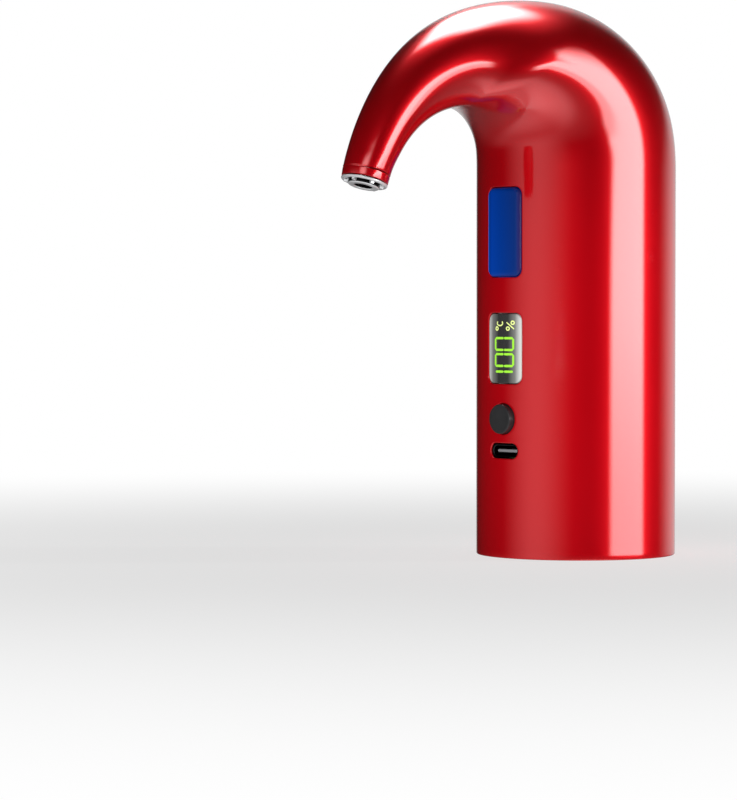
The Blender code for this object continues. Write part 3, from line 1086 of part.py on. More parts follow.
def build_battery():
    """The rechargeable cell, the nickel tabs on its ends and the leads to the board."""
    axis = add_empty("cell_axis", (CELL_X, CELL_Y, 0))
    cell = (
        (0, CELL_TOP + NUB_LENGTH), (NUB_RADIUS, CELL_TOP + NUB_LENGTH), (NUB_RADIUS, CELL_TOP),
        (CELL_RADIUS - CELL_EDGE, CELL_TOP), (CELL_RADIUS, CELL_TOP - CELL_EDGE),
        (CELL_RADIUS, CELL_BOTTOM + CELL_EDGE), (CELL_RADIUS - CELL_EDGE, CELL_BOTTOM), (0, CELL_BOTTOM),
    )
    add_turned("battery_cell", cell, "cell_wrap", parent=axis, steps=ROUND_STEPS)
    top, bottom = CELL_TOP + NUB_LENGTH + GAP, DISC_TOP + GAP
    front = -CELL_RADIUS - TAB_REACH
    for name, z in (("battery_tab_top", top), ("battery_tab_bottom", bottom)):
        low, high = (-TAB_WIDTH / 2, front, z), (TAB_WIDTH / 2, front + TAB_LENGTH, z + TAB_THICKNESS)
        add_box(name, low, high, "silver_plate", parent=axis)
    y = CELL_Y + front - GAP
    side, half = LEAD_SPACING / 2, CONNECTOR_LENGTH / 2 + GAP
    high, low = BATTERY_CONNECTOR_HEIGHT + half, BATTERY_CONNECTOR_HEIGHT - half
    add_lead(
        "battery_lead_plus", (CELL_X, y, top + LEAD_RADIUS), (0, -TAB_LEAD_REACH, -TAB_LEAD_DROP),
        (CONNECTOR_SIDE + side, CONNECTOR_MIDDLE, high), (0, 0, -PLUS_END_PULL), "red_lead",
    )
    add_lead(
        "battery_lead_minus", (CELL_X, y, bottom + LEAD_RADIUS), (0, -TAB_LEAD_PULL, 0),
        (CONNECTOR_SIDE - side, CONNECTOR_MIDDLE, low), (0, 0, MINUS_END_PULL), "black_lead",
    )


def build_motor_leads():
    """The two leads from the motor's end cap to its connector."""
    spread = MOTOR_LEAD_SPACING / 2
    y = PUMP_Y - math.sqrt(MOTOR_RADIUS**2 - spread**2) - GAP
    z = MOTOR_BOTTOM + END_CAP_FLANGE / 2
    low = MOTOR_CONNECTOR_HEIGHT - CONNECTOR_LENGTH / 2 - GAP
    for name, side, finish in (("motor_lead_plus", -1, "red_lead"), ("motor_lead_minus", 1, "black_lead")):
        end = (-CONNECTOR_SIDE + side * LEAD_SPACING / 2, CONNECTOR_MIDDLE, low)
        add_lead(
            name, (PUMP_X + side * spread, y, z), (0, -MOTOR_LEAD_PULL, 0), end, (0, 0, MOTOR_END_PULL), finish
        )


for thing in list(bpy.data.objects):
    bpy.data.objects.remove(thing, do_unlink=True)
build_housing()
build_nozzle()
build_pour_key()
build_power_button()
build_switch("pour_switch", KEY_HEIGHT)
build_switch("power_switch", BUTTON_HEIGHT)
build_display()
build_charging_socket()
build_board()
build_chassis()
build_clamps()
build_screws()
build_motor()
build_pump_head()
build_air_line()
build_wine_line()
build_base()
build_battery()
build_motor_leads()
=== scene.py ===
"""The looks of an electric wine aerator: a hooked red housing on a round body that is open below.
+Z is up along the round body's axis, and the spout and the panel with the blue key face -Y.
The sections follow the order in which the aerator is put together, from the housing to the battery."""

import functools
import math

import bmesh
import bpy
import numpy as np
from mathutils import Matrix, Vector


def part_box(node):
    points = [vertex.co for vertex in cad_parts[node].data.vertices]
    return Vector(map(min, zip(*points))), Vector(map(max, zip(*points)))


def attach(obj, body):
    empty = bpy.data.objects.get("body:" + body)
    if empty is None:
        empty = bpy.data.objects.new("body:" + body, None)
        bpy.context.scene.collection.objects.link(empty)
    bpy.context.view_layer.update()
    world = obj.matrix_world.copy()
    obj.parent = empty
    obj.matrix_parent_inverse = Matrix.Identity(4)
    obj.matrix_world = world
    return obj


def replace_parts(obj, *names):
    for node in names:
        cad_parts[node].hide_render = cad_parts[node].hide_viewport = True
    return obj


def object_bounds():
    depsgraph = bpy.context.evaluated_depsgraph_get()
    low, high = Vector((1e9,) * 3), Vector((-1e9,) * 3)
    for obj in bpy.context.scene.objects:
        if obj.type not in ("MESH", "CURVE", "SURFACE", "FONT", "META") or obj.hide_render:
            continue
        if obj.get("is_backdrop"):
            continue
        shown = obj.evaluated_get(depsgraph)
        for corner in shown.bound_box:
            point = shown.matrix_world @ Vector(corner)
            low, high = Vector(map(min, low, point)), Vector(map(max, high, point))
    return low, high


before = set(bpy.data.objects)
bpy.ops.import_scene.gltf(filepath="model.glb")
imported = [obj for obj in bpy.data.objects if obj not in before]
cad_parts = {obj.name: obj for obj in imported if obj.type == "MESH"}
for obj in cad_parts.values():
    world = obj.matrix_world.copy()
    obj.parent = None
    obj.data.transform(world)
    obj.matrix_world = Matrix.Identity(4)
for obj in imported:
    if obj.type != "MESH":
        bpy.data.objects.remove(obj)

cad_low, cad_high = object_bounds()
bpy.context.scene.view_settings.view_transform = "Standard"


# Housing halves
# Two plastic shells, moulded, painted a glossy deep red and glued together in the plane X = 0. The
# straight body carries four windows on its front; above it the tube bends over and narrows.
MM = 0.001


def mm(*lengths):
    """Lengths given in mm, in metres."""
    return [length * MM for length in lengths]


BODY_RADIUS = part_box("housing_right")[1].x
WALL, NOZZLE_WALL = mm(2.0, 1.2)
SHOULDER_HEIGHT = 97.4 * MM
CROWN_RISE, CROWN_REACH = mm(37.3, 15.65)
CROTCH_RISE, CROTCH_SPAN = mm(10.4, 15.4)
NOZZLE_OVERHANG, NOZZLE_DROP, NOZZLE_RADIUS = mm(43.6, 7.45, 5.52)
NOZZLE_TILT = math.radians(16.4)
CROWN_PULL, OUTER_TIP_PULL = mm(47.4, 4.5)
CROTCH_PULL, INNER_TIP_PULL = mm(4.2, 15.7)
SEAM, COLLAR_LENGTH = mm(0.3, 1.8)
RIM_FILLET, WINDOW_FILLET, END_FILLET = mm(0.35, 0.3, 0.15)
PANEL_HALF_WIDTH, WINDOW_GAP = mm(8.0, 0.15)
KEY_SIZE, KEY_CORNER, KEY_HEIGHT = mm(11.2, 21.4), 2.0 * MM, 78.6 * MM
LENS_SIZE, LENS_CORNER, LENS_HEIGHT = mm(11.4, 16.8), 2.0 * MM, 50.6 * MM
BUTTON_RADIUS, BUTTON_HEIGHT = mm(3.6, 33.6)
PORT_SIZE, PORT_HEIGHT = mm(9.4, 3.7), 25.9 * MM
ROUND_END_SHARE = 0.4999
BAND_EDGES = mm(23.2, 28.6, 38.6, 40.0, 61.2, 66.0, 91.2)
BAND_ROWS = (12, 22, 3, 42, 8, 50)
FOOT_ROWS, HOOK_ROWS, CURVE_SAMPLES = 20, 200, 1500
BEND_SOFTNESS = 5.0 * MM
PANEL_COLUMNS, BACK_COLUMNS, FILLET_ROWS = 20, 62, 4
WINDOW_RINGS, LINING_RING = (0.6, 0.3, 0.12, 0), 0.4
# Height from which the window walls turn near black, and that colour: bare dark plastic, and also painted
# shade in the gaps round the windows.
BARE_AND_SHADE_FROM, BARE_PLASTIC_AND_SHADE = 5 * MM, (0.012, 0.010, 0.010)
SAME_PLACE = 0.0001 * MM

FLOW = np.array([math.sin(NOZZLE_TILT), -math.cos(NOZZLE_TILT)])
SQUARE_TO_FLOW = np.array([math.cos(NOZZLE_TILT), math.sin(NOZZLE_TILT)])
NOZZLE_TIP = np.array([BODY_RADIUS + NOZZLE_OVERHANG, SHOULDER_HEIGHT - NOZZLE_DROP])


def cubic(start, first, second, end, t):
    """Points of a cubic curve: the four given points weighted with the Bernstein polynomials of t."""
    t = np.asarray(t, float)[:, None]
    s = 1 - t
    return s**3 * start + 3 * s**2 * t * first + 3 * s * t**2 * second + t**3 * end


def shoulder_ends(angle):
    """Outer and inner ends, as (reach, height), of the sections at these angles, on quarter ellipses."""
    level, up = np.cos(angle), np.sin(angle)
    outer = (CROWN_REACH - (BODY_RADIUS + CROWN_REACH) * level, SHOULDER_HEIGHT + CROWN_RISE * up)
    inner = (BODY_RADIUS + CROTCH_SPAN * (1 - level), SHOULDER_HEIGHT + CROTCH_RISE * up)
    return np.stack(outer, -1), np.stack(inner, -1)


def spout_ends(t):
    """The same from the crown to the nozzle, on cubic curves that leave level and end square."""
    crown, crotch = (ends[0] for ends in shoulder_ends(np.array([np.pi / 2])))
    forward = np.array([1.0, 0.0])
    outer_end, inner_end = (NOZZLE_TIP + side * NOZZLE_RADIUS * SQUARE_TO_FLOW for side in (1, -1))
    outer = cubic(crown, crown + CROWN_PULL * forward, outer_end - OUTER_TIP_PULL * FLOW, outer_end, t)
    inner = cubic(crotch, crotch + CROTCH_PULL * forward, inner_end - INNER_TIP_PULL * FLOW, inner_end, t)
    return outer, inner


def spout_end_share():
    """The share of the spout's curves at which the housing stops, before the joint line and the collar."""
    shares = np.linspace(0.5, 1, 20001)
    outer, inner = spout_ends(shares)
    left = (NOZZLE_TIP - (outer + inner) / 2) @ FLOW
    return shares[np.argmin(abs(left - COLLAR_LENGTH - SEAM))]


END_SHARE = spout_end_share()
END_RADIUS = np.linalg.norm(np.subtract(*(ends[0] for ends in spout_ends([END_SHARE])))) / 2


def softened(ends, way):
    """Rows of ends whose bends start gradually: each is the mean of the ends within a reach along the way.
    The reach narrows to nothing at both ends, and rows with a reach under four steps stay as they are."""
    reach = np.minimum(BEND_SOFTNESS, np.minimum(way - way[0], way[-1] - way))
    wide = reach > 4 * (way[1] - way[0])
    soft = ends.copy()
    for column in soft.T:
        sums = np.append(0, np.cumsum((column[1:] + column[:-1]) / 2 * np.diff(way)))
        total = np.interp(way + reach, way, sums) - np.interp(way - reach, way, sums)
        column[wide] = total[wide] / (2 * reach[wide])
    return soft


def hook_rows():
    """Ends of the sections above the windows, at even steps along the middle line, with the wall's depth. The
    wall thins evenly from the crown to the nozzle."""
    rise = np.linspace(BAND_EDGES[-1], SHOULDER_HEIGHT, CURVE_SAMPLES)
    straight = [np.stack([np.full_like(rise, side * BODY_RADIUS), rise], -1) for side in (-1, 1)]
    shoulder = shoulder_ends(np.linspace(0, np.pi / 2, CURVE_SAMPLES)[1:])
    spout = spout_ends(np.linspace(0, END_SHARE, CURVE_SAMPLES)[1:])
    ends = np.concatenate([np.concatenate(parts) for parts in zip(straight, shoulder, spout)], axis=1)
    middle = (ends[:, :2] + ends[:, 2:]) / 2
    way = np.append(0, np.cumsum(np.linalg.norm(np.diff(middle, axis=0), axis=1)))
    even = np.linspace(0, way[-1], 3 * CURVE_SAMPLES)
    soft = softened(np.stack([np.interp(even, way, column) for column in ends.T], -1), even)
    places = np.linspace(0, way[-1] - 3 * END_FILLET, HOOK_ROWS)[1:]
    rows = np.stack([np.interp(places, even, column) for column in soft.T], -1)
    wall = np.interp(places, [way[2 * CURVE_SAMPLES - 2], way[-1]], [WALL, NOZZLE_WALL])
    return rows[:, :2], rows[:, 2:], wall


def housing_rows():
    """Ends of every section from the rim to the spout's end, with the inset of the paint's surface (for the
    fillets at both ends) and the depth of the inner wall."""
    turn = np.linspace(0, np.pi / 2, FILLET_ROWS)
    heights = [RIM_FILLET * (1 - np.cos(turn)), np.linspace(RIM_FILLET, BAND_EDGES[0], FOOT_ROWS)[1:]]
    for low, high, count in zip(BAND_EDGES, BAND_EDGES[1:], BAND_ROWS):
        heights.append(np.linspace(low, high, count + 1)[1:])
    heights = np.concatenate(heights)
    body = [np.stack([np.full_like(heights, side * BODY_RADIUS), heights], -1) for side in (-1, 1)]
    *hook, thin = hook_rows()
    along = COLLAR_LENGTH + SEAM + END_FILLET * (1 - np.sin(turn))
    middle = NOZZLE_TIP - along[:, None] * FLOW
    tip = [middle + side * END_RADIUS * SQUARE_TO_FLOW for side in (1, -1)]
    outer, inner = (np.concatenate(parts) for parts in zip(body, hook, tip))
    inset = np.zeros(len(outer))
    inset[:FILLET_ROWS] = RIM_FILLET * (1 - np.sin(turn))
    inset[-FILLET_ROWS:] = END_FILLET * (1 - np.cos(turn))
    wall = np.concatenate([np.full(len(heights), WALL), thin, np.full(FILLET_ROWS, NOZZLE_WALL)])
    return outer, inner, inset, wall, heights


def column_angles(radius):
    """Angles round a section from its front: even steps in X across the panel, even angles behind it."""
    front = np.arcsin(np.linspace(0, PANEL_HALF_WIDTH, PANEL_COLUMNS + 1) / radius)
    return np.concatenate([front, np.linspace(front[-1], np.pi, BACK_COLUMNS + 1)[1:]])


def tube_points(outer, inner, inset, angles, side):
    """A grid of points on circles whose diameters run from the inner to the outer ends, less the inset."""
    middle, across = (outer + inner) / 2, outer - inner
    half = np.linalg.norm(across, axis=1)
    out = across / half[:, None]
    radius = (half / 2 - inset)[:, None]
    plane = middle[:, None] - out[:, None] * (radius * np.cos(angles))[..., None]
    return np.stack([side * radius * np.sin(angles), -plane[..., 0], plane[..., 1]], -1)


def half_outline(size, corner, shares):
    """Half of a rounded rectangle, from its top middle round the right side to its bottom middle. It runs
    straight, turns a quarter, runs down, turns a quarter and runs back; the normal turns with it."""
    run, arc, drop = size[0] / 2 - corner, corner * np.pi / 2, size[1] - 2 * corner
    way = np.asarray(shares) * (2 * run + 2 * arc + drop)
    ahead = np.clip(way, 0, run)
    down = np.clip(way - run - arc, 0, drop)
    turn = (np.clip(way - run, 0, arc) + np.clip(way - run - arc - drop, 0, arc)) / corner
    back = np.clip(way - run - 2 * arc - drop, 0, run)
    normal = np.stack([np.sin(turn), np.cos(turn)], -1)
    points = np.stack([ahead - back, size[1] / 2 - corner - down], -1) + corner * normal
    return points, normal


def strips(loops, closed=False):
    """Quads between each row of vertex numbers and the next; a closed row's end joins its start."""
    loops = [np.asarray(loop) for loop in loops]
    if closed:
        loops = [np.append(loop, loop[0]) for loop in loops]
    quads = [np.stack([a[:-1], a[1:], b[1:], b[:-1]], -1) for a, b in zip(loops, loops[1:])]
    return np.concatenate(quads).tolist()


def skinned(points, ring=False):
    """Points and faces of a solid with these closed loops of points, one after the other. The first and the
    last are capped, or joined to each other in a ring."""
    number = np.arange(points.shape[0] * points.shape[1]).reshape(points.shape[:2])
    if ring:
        return points, strips([*number, number[0]], closed=True)
    return points, strips(number, closed=True) + number[[0, -1]].tolist()


def placed(name, data):
    """A new object of the scene with this data."""
    thing = bpy.data.objects.new(name, data)
    bpy.context.scene.collection.objects.link(thing)
    return thing


def made(name, points, faces, material, body="housing", sharp=35):
    """A mesh object at the origin, its faces turned outwards, smooth but for edges sharper than the angle."""
    mesh = bpy.data.meshes.new(name)
    mesh.from_pydata(np.asarray(points).reshape(-1, 3).tolist(), [], faces)
    shape = bmesh.new()
    shape.from_mesh(mesh)
    bmesh.ops.remove_doubles(shape, verts=shape.verts, dist=SAME_PLACE)
    bmesh.ops.recalc_face_normals(shape, faces=shape.faces)
    shape.to_mesh(mesh)
    shape.free()
    mesh.shade_smooth()
    mesh.set_sharp_from_angle(angle=math.radians(sharp))
    mesh.materials.append(material)
    piece = placed(name, mesh)
    "slot" in material
    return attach(piece, body)


class Values:
    """Arithmetic with the nodes of a tree, on sockets and numbers alike."""

    def __init__(self, tree):
        self.tree = tree

    def fill(self, node, inputs):
        """Links the sockets among the inputs to a node and sets the others as constants."""
        for key, value in inputs.items():
            if isinstance(value, bpy.types.NodeSocket):
                self.tree.links.new(value, node.inputs[key])
            else:
                node.inputs[key].default_value = value

    def node(self, kind, inputs, output, **settings):
        """The named output of a new node with these inputs and settings."""
        node = self.tree.nodes.new(f"ShaderNode{kind}")
        for name, value in settings.items():
            setattr(node, name, value)
        self.fill(node, inputs)
        return node.outputs[output]

    def place(self):
        """The object's coordinates, from the node that every finish starts with."""
        return self.tree.nodes["Texture Coordinate"].outputs["Object"]

    def ray(self, kind):
        """1 for rays of this kind and 0 for all others."""
        return self.node("LightPath", {}, f"Is {kind} Ray")

    def math(self, operation, *values):
        """One operation on one or two values."""
        return self.node("Math", dict(enumerate(values)), "Value", operation=operation)

    def product(self, *values):
        """All values multiplied, one after the other."""
        return functools.reduce(functools.partial(self.math, "MULTIPLY"), values)

    def total(self, *values):
        """All values added, one after the other."""
        return functools.reduce(functools.partial(self.math, "ADD"), values)

    def vector(self, operation, first, second=(0, 0, 0)):
        """An operation on vectors. A length and a dot product come out as one value."""
        output = "Value" if operation in ("DOT_PRODUCT", "LENGTH") else "Vector"
        return self.node("VectorMath", {0: first, 1: tuple(second)}, output, operation=operation)

    def rise(self, value, start, end, steps="SMOOTHSTEP"):
        """0 up to the start and 1 from the end, smooth between them; it falls where the end is lower."""
        inputs = {"Value": value, "From Min": min(start, end), "From Max": max(start, end)}
        inputs.update({"To Min": float(end < start), "To Max": float(start < end)})
        return self.node("MapRange", inputs, "Result", interpolation_type=steps)

    def mixed(self, share, low, high, **settings):
        """The low value at share 0 and the high one at 1."""
        return self.node("Mix", {"Factor": share, "A": low, "B": high}, "Result", **settings)

    def tint(self, share, colour):
        """Mixes a colour into the finish's own by the share."""
        target = self.tree.nodes["Principled BSDF"].inputs["Base Color"]
        own = target.links[0].from_socket
        self.tree.links.new(self.mixed(share, own, (*colour, 1), data_type="RGBA"), target)


def finish(name, tones, patch, rough, grain=0.0, grain_size=0.2, stretch=(1, 1, 1), slot=True, **more):
    """A finish whose colour drifts between two tones in soft patches of the given size, whose roughness
    drifts with it, and whose surface is raised by a fine grain. Sizes are in mm. The stretch makes patches
    long and thin. Without tones it is coloured later. The record's slot has the same name."""
    material = bpy.data.materials.new(name)
    if slot:
        material["slot"] = name
    material.use_nodes = True
    values = Values(material.node_tree)
    object_place = values.node("TexCoord", {}, "Object")
    place = values.node("Mapping", {"Vector": object_place, "Scale": stretch}, "Vector")
    drift = values.node("TexNoise", {"Vector": place, "Scale": 1 / (patch * MM), "Detail": 3}, "Fac")
    inputs = {"Roughness": values.mixed(drift, *rough)}
    if tones:
        inputs["Base Color"] = values.mixed(drift, *((*tone, 1) for tone in tones), data_type="RGBA")
    if grain:
        height = values.node("TexNoise", {"Vector": place, "Scale": 1 / (grain_size * MM)}, "Fac")
        inputs["Normal"] = values.node("Bump", {"Height": height, "Distance": grain * MM}, "Normal")
    inputs.update({socket.replace("_", " "): value for socket, value in more.items()})
    values.fill(material.node_tree.nodes["Principled BSDF"], inputs)
    return material


RED_PAINT = finish(
    "red_paint", ((0.72, 0.0004, 0.006), (0.77, 0.0004, 0.008)), 30, (0.3, 0.36), 0.002, 1.2,
    Specular_IOR_Level=0.15, Metallic=0.55, Coat_Weight=1.0, Coat_Roughness=0.09, Coat_IOR=1.75,
)


def dark_walls_and_gap_shade(material):
    """Darkens the walls of the windows: by distance from the body's axis the paint gives way to near black
    under the surface, above the rim and below the shoulder. The near black is the walls' bare dark plastic
    and also painted shade in the gaps round the windows."""
    values = Values(material.node_tree)
    height = values.node("SeparateXYZ", {"Vector": values.place()}, "Z")
    far = values.vector("LENGTH", values.vector("MULTIPLY", values.place(), (1, 1, 0)))
    under = values.rise(far, BODY_RADIUS - WINDOW_FILLET, BODY_RADIUS - 1.6 * WINDOW_FILLET, "LINEAR")
    above = values.math("GREATER_THAN", height, BARE_AND_SHADE_FROM)
    below = values.math("LESS_THAN", height, BAND_EDGES[-1])
    values.tint(values.product(under, above, below), BARE_PLASTIC_AND_SHADE)


dark_walls_and_gap_shade(RED_PAINT)


def on_body(x, radius):
    """Y of points on a cylinder about the body's axis: minus the root of radius squared less X squared."""
    return -np.sqrt(radius**2 - x**2)


def window_ring(points, faces, rect, inner_rect, side, size, corner, middle):
    """Fills the strip between a rectangle of the body's grid and a window, matched by share of length. The
    surface runs to the window's outline, turns in round a fillet, crosses the wall straight back along Y,
    and runs out again on the inner wall."""
    plan = points[rect][:, [0, 2]] * (side, 1) - (0, middle)
    way = np.append(0, np.cumsum(np.linalg.norm(np.diff(plan, axis=0), axis=1)))
    edge, normal = half_outline(size, corner, way / way[-1])
    inner_radius = BODY_RADIUS - WALL
    layers = []
    for share in WINDOW_RINGS:
        layers.append((plan * share + (edge + normal * WINDOW_FILLET) * (1 - share), BODY_RADIUS, 0))
    for turn in np.linspace(0, np.pi / 2, FILLET_ROWS)[1:]:
        step = edge + normal * WINDOW_FILLET * (1 - np.sin(turn))
        layers.append((step, BODY_RADIUS, WINDOW_FILLET * (1 - np.cos(turn))))
    layers.append((edge, inner_radius, 0))
    layers.append((plan * LINING_RING + edge * (1 - LINING_RING), inner_radius, 0))
    loops, count = [rect], len(points)
    for flat, radius, depth in layers:
        x, up = flat.T
        points = np.concatenate([points, np.stack([side * x, on_body(x, radius) + depth, up + middle], -1)])
        loops.append(np.arange(count, count + len(flat)))
        count += len(flat)
    loops.append(inner_rect)
    faces += strips(loops) + [[int(loop[end]) for loop in loops] for end in (0, -1)]
    return points


def build_housing_half(name, side):
    """A closed shell: grids of the outer and inner surfaces, joined at the rim, the spout's end and the
    plane X = 0, with the four windows set into the grid."""
    outer, inner, inset, wall, heights = housing_rows()
    skin = tube_points(outer, inner, inset, column_angles(BODY_RADIUS), side)
    lining = tube_points(outer, inner, wall, column_angles(BODY_RADIUS - WALL), side)
    rows, columns = skin.shape[:2]
    out_no = np.arange(rows * columns).reshape(rows, columns)
    in_no = out_no + rows * columns
    points = np.concatenate([skin.reshape(-1, 3), lining.reshape(-1, 3)])
    grow = 2 * WINDOW_GAP
    button = 2 * BUTTON_RADIUS + grow
    windows = (
        (0, PORT_SIZE, PORT_SIZE[1] * ROUND_END_SHARE, PORT_HEIGHT),
        (1, (button, button), button * ROUND_END_SHARE, BUTTON_HEIGHT),
        (3, np.add(LENS_SIZE, grow), LENS_CORNER, LENS_HEIGHT),
        (5, np.add(KEY_SIZE, grow), KEY_CORNER, KEY_HEIGHT),
    )
    kept = np.ones((rows - 1, columns - 1), bool)
    faces = []
    for band, size, corner, middle in windows:
        low = int(np.argmin(abs(heights - BAND_EDGES[band])))
        high = int(np.argmin(abs(heights - BAND_EDGES[band + 1])))
        kept[low:high, :PANEL_COLUMNS] = False
        top, bottom = out_no[high, : PANEL_COLUMNS + 1], out_no[low, : PANEL_COLUMNS + 1]
        rect = np.concatenate([top, out_no[low + 1 : high, PANEL_COLUMNS][::-1], bottom[::-1]])
        points = window_ring(points, faces, rect, rect + rows * columns, side, size, corner, middle)
    for number in (out_no, in_no):
        faces += np.array(strips(number))[kept.ravel()].tolist()
    for end in (0, -1):
        seam = np.array(strips([out_no[:, end], in_no[:, end]]))
        faces += strips([out_no[end], in_no[end]]) + seam[kept[:, end]].tolist()
    half = made(name, points, faces, RED_PAINT)
    level_seam_normals(half.data)
    return half


def read(items, name, width, kind=np.float32):
    """One property of all items of a mesh, as an array with a row of this width for each."""
    found = np.empty((len(items), width), kind)
    items.foreach_get(name, found.ravel())
    return found


def level_seam_normals(mesh):
    """Takes the X part out of the normals along X = 0, but for the joint's own faces, so that the two
    halves shade as one surface."""
    normals, places = read(mesh.corner_normals, "vector", 3), read(mesh.vertices, "co", 3)
    numbers = read(mesh.loops, "vertex_index", 1, np.int32)[:, 0]
    on_seam = abs(places[numbers, 0]) < SAME_PLACE
    normals[on_seam & (abs(normals[:, 0]) < 0.5), 0] = 0
    normals /= np.linalg.norm(normals, axis=1)[:, None]
    mesh.normals_split_custom_set(normals.tolist())


for name, side in (("housing_right", 1), ("housing_left", -1)):
    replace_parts(build_housing_half(f"painted_{name}", side), name)


# Nozzle collar
# A short red ring at the end of the spout, turned from the same painted plastic and pushed on after
# the insert. A fine dark joint line parts it from the housing.
def leaned(x, y, z, tilt, at):
    """Points turned back about X by the tilt and moved to their place."""
    y, z = y * math.cos(tilt) + z * math.sin(tilt), z * math.cos(tilt) - y * math.sin(tilt)
    return np.stack([x, y, z], -1) + np.asarray(at)


def turned(profile, count=96, at=(0, 0, 0), tilt=0.0):
    """Points and faces of a closed profile of (radius, height) turned about the Z axis, which is then
    turned back about X by the tilt."""
    radius, height = np.asarray(profile, float).T
    angle = np.arange(count)[:, None] * 2 * np.pi / count
    x, y = radius * np.cos(angle), radius * np.sin(angle)
    return skinned(leaned(x, y, np.broadcast_to(height, x.shape), tilt, at), ring=True)


def rounded(corners, radius, axis=True, steps=4):
    """A closed polygon whose corners are eased: each becomes a parabola between points at the radius, or
    at 0.45 of the shorter side, from the corner. Where there is an axis, corners on it stay."""
    corners = np.asarray(corners, float)
    t = np.linspace(0, 1, steps + 1)[:, None]
    eased = []
    for before, corner, after in zip(np.roll(corners, 1, 0), corners, np.roll(corners, -1, 0)):
        sides = before - corner, after - corner
        lengths = [max(np.linalg.norm(side), SAME_PLACE) for side in sides]
        reach = min(radius, 0.45 * min(lengths))
        start, end = (corner + side * reach / length for side, length in zip(sides, lengths))
        curve = start * (1 - t) ** 2 + corner * 2 * t * (1 - t) + end * t**2
        eased.append(corner[None] if axis and corner[0] < SAME_PLACE else curve)
    return np.concatenate(eased)


NOZZLE_AT = (0, -NOZZLE_TIP[0], NOZZLE_TIP[1])
COLLAR_BORE = NOZZLE_RADIUS - NOZZLE_WALL
collar_top = NOZZLE_RADIUS + (END_RADIUS - NOZZLE_RADIUS) * COLLAR_LENGTH / (COLLAR_LENGTH + SEAM)
collar = [(COLLAR_BORE, COLLAR_LENGTH), (collar_top, COLLAR_LENGTH), (NOZZLE_RADIUS, 0), (COLLAR_BORE, 0)]


def on_nozzle(name, profile, ease, material):
    """A turned piece on the nozzle's axis, its profile's corners eased."""
    return made(name, *turned(rounded(profile, ease), at=NOZZLE_AT, tilt=NOZZLE_TILT), material)


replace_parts(on_nozzle("painted_collar", collar, END_FILLET, RED_PAINT), "nozzle_collar")


# Aerator insert
# A bright plated ring with a skirt that presses into the collar. Six thin spokes carry the outlet tube
# in its middle, and air is drawn in between them into the stream.
GAP = 0.3 * MM
RING_PROUD, RING_CHAMFER, RING_LAND = mm(0.5, 0.25, 0.2)
MOUTH_RADIUS = COLLAR_BORE + 0.35 * MM
SKIRT_LENGTH, SKIRT_WALL = mm(6.0, 0.6)
OUTLET_RADIUS, OUTLET_RING_RADIUS, OUTLET_PROUD = mm(2.25, 3.8, 0.8)
SPOKE_COUNT, SPOKE_PHASE = 6, math.radians(-74)
SPOKE_WIDTH, SPOKE_DEPTH, SPOKE_EASE, SPOKE_SET_BACK = mm(0.7, 2.5, 0.15, 0.3)
STEM_LENGTH, STEM_NECK, STEM_RADIUS, STEM_BORE = mm(9.5, 5.5, 2.0, 1.4)
BRIGHT_EDGE, SHADE_BEHIND, SHADE_BEYOND, SHADE_FADE = mm(0.2, 0.04, 0.03, 0.05)
SHADE = (0.004, 0.004, 0.004)


def silver(metallic):
    """Bright plating, more or less like bare metal."""
    return finish(
        "silver_plate", ((0.84, 0.85, 0.87), (0.9, 0.91, 0.93)), 2.0, (0.2, 0.3), 0.002, 0.3,
        Metallic=metallic,
    )


PLATING = silver(0.9)
ring_end = -GAP - RING_PROUD
skirt = COLLAR_BORE - GAP
lip = [
    (skirt - SKIRT_WALL, SKIRT_LENGTH), (skirt, SKIRT_LENGTH), (skirt, -GAP), (NOZZLE_RADIUS, -GAP),
    (NOZZLE_RADIUS, ring_end + RING_CHAMFER), (NOZZLE_RADIUS - RING_CHAMFER, ring_end),
    (MOUTH_RADIUS, ring_end), (skirt - SKIRT_WALL, ring_end + RING_PROUD),
]
outlet_end = ring_end - OUTLET_PROUD
outlet = [
    (STEM_BORE, STEM_LENGTH), (STEM_RADIUS, STEM_LENGTH), (STEM_RADIUS, STEM_NECK),
    (OUTLET_RING_RADIUS - SKIRT_WALL, SPOKE_DEPTH), (OUTLET_RING_RADIUS, outlet_end + RING_CHAMFER),
    (OUTLET_RING_RADIUS - RING_CHAMFER, outlet_end), (OUTLET_RADIUS, outlet_end), (OUTLET_RADIUS, 0),
    (STEM_BORE, STEM_NECK),
]


def spoke_points(turn):
    """A bar with eased long edges: a rounded rectangle drawn out from the outlet to the ring, and turned
    about the nozzle's axis."""
    half, front, back = SPOKE_WIDTH / 2, outlet_end + SPOKE_SET_BACK, ring_end + SPOKE_DEPTH
    corners = [(-half, front), (half, front), (half, back), (-half, back)]
    across, depth = rounded(corners, SPOKE_EASE, axis=False).T
    reach = np.array([(OUTLET_RADIUS + OUTLET_RING_RADIUS) / 2, MOUTH_RADIUS])[:, None]
    x = reach * math.cos(turn) - across * math.sin(turn)
    y = reach * math.sin(turn) + across * math.cos(turn)
    return skinned(leaned(x, y, np.broadcast_to(depth, x.shape), NOZZLE_TILT, NOZZLE_AT))


def plated(depth, radius):
    """The plating, with painted shade in near black within the given radius of the nozzle's axis behind the
    given depth.
    Depths are counted along the axis from the collar's end, positive into the spout."""
    material = silver(0.4)
    values = Values(material.node_tree)
    axis = (0, FLOW[0], -FLOW[1])
    place = values.vector("SUBTRACT", values.place(), NOZZLE_AT)
    along, off = (values.vector(operation, place, axis) for operation in ("DOT_PRODUCT", "CROSS_PRODUCT"))
    behind = values.rise(along, depth, depth + SHADE_FADE, "LINEAR")
    within = values.rise(values.vector("LENGTH", off), radius, radius - SHADE_FADE, "LINEAR")
    values.tint(values.product(behind, within), SHADE)
    return material
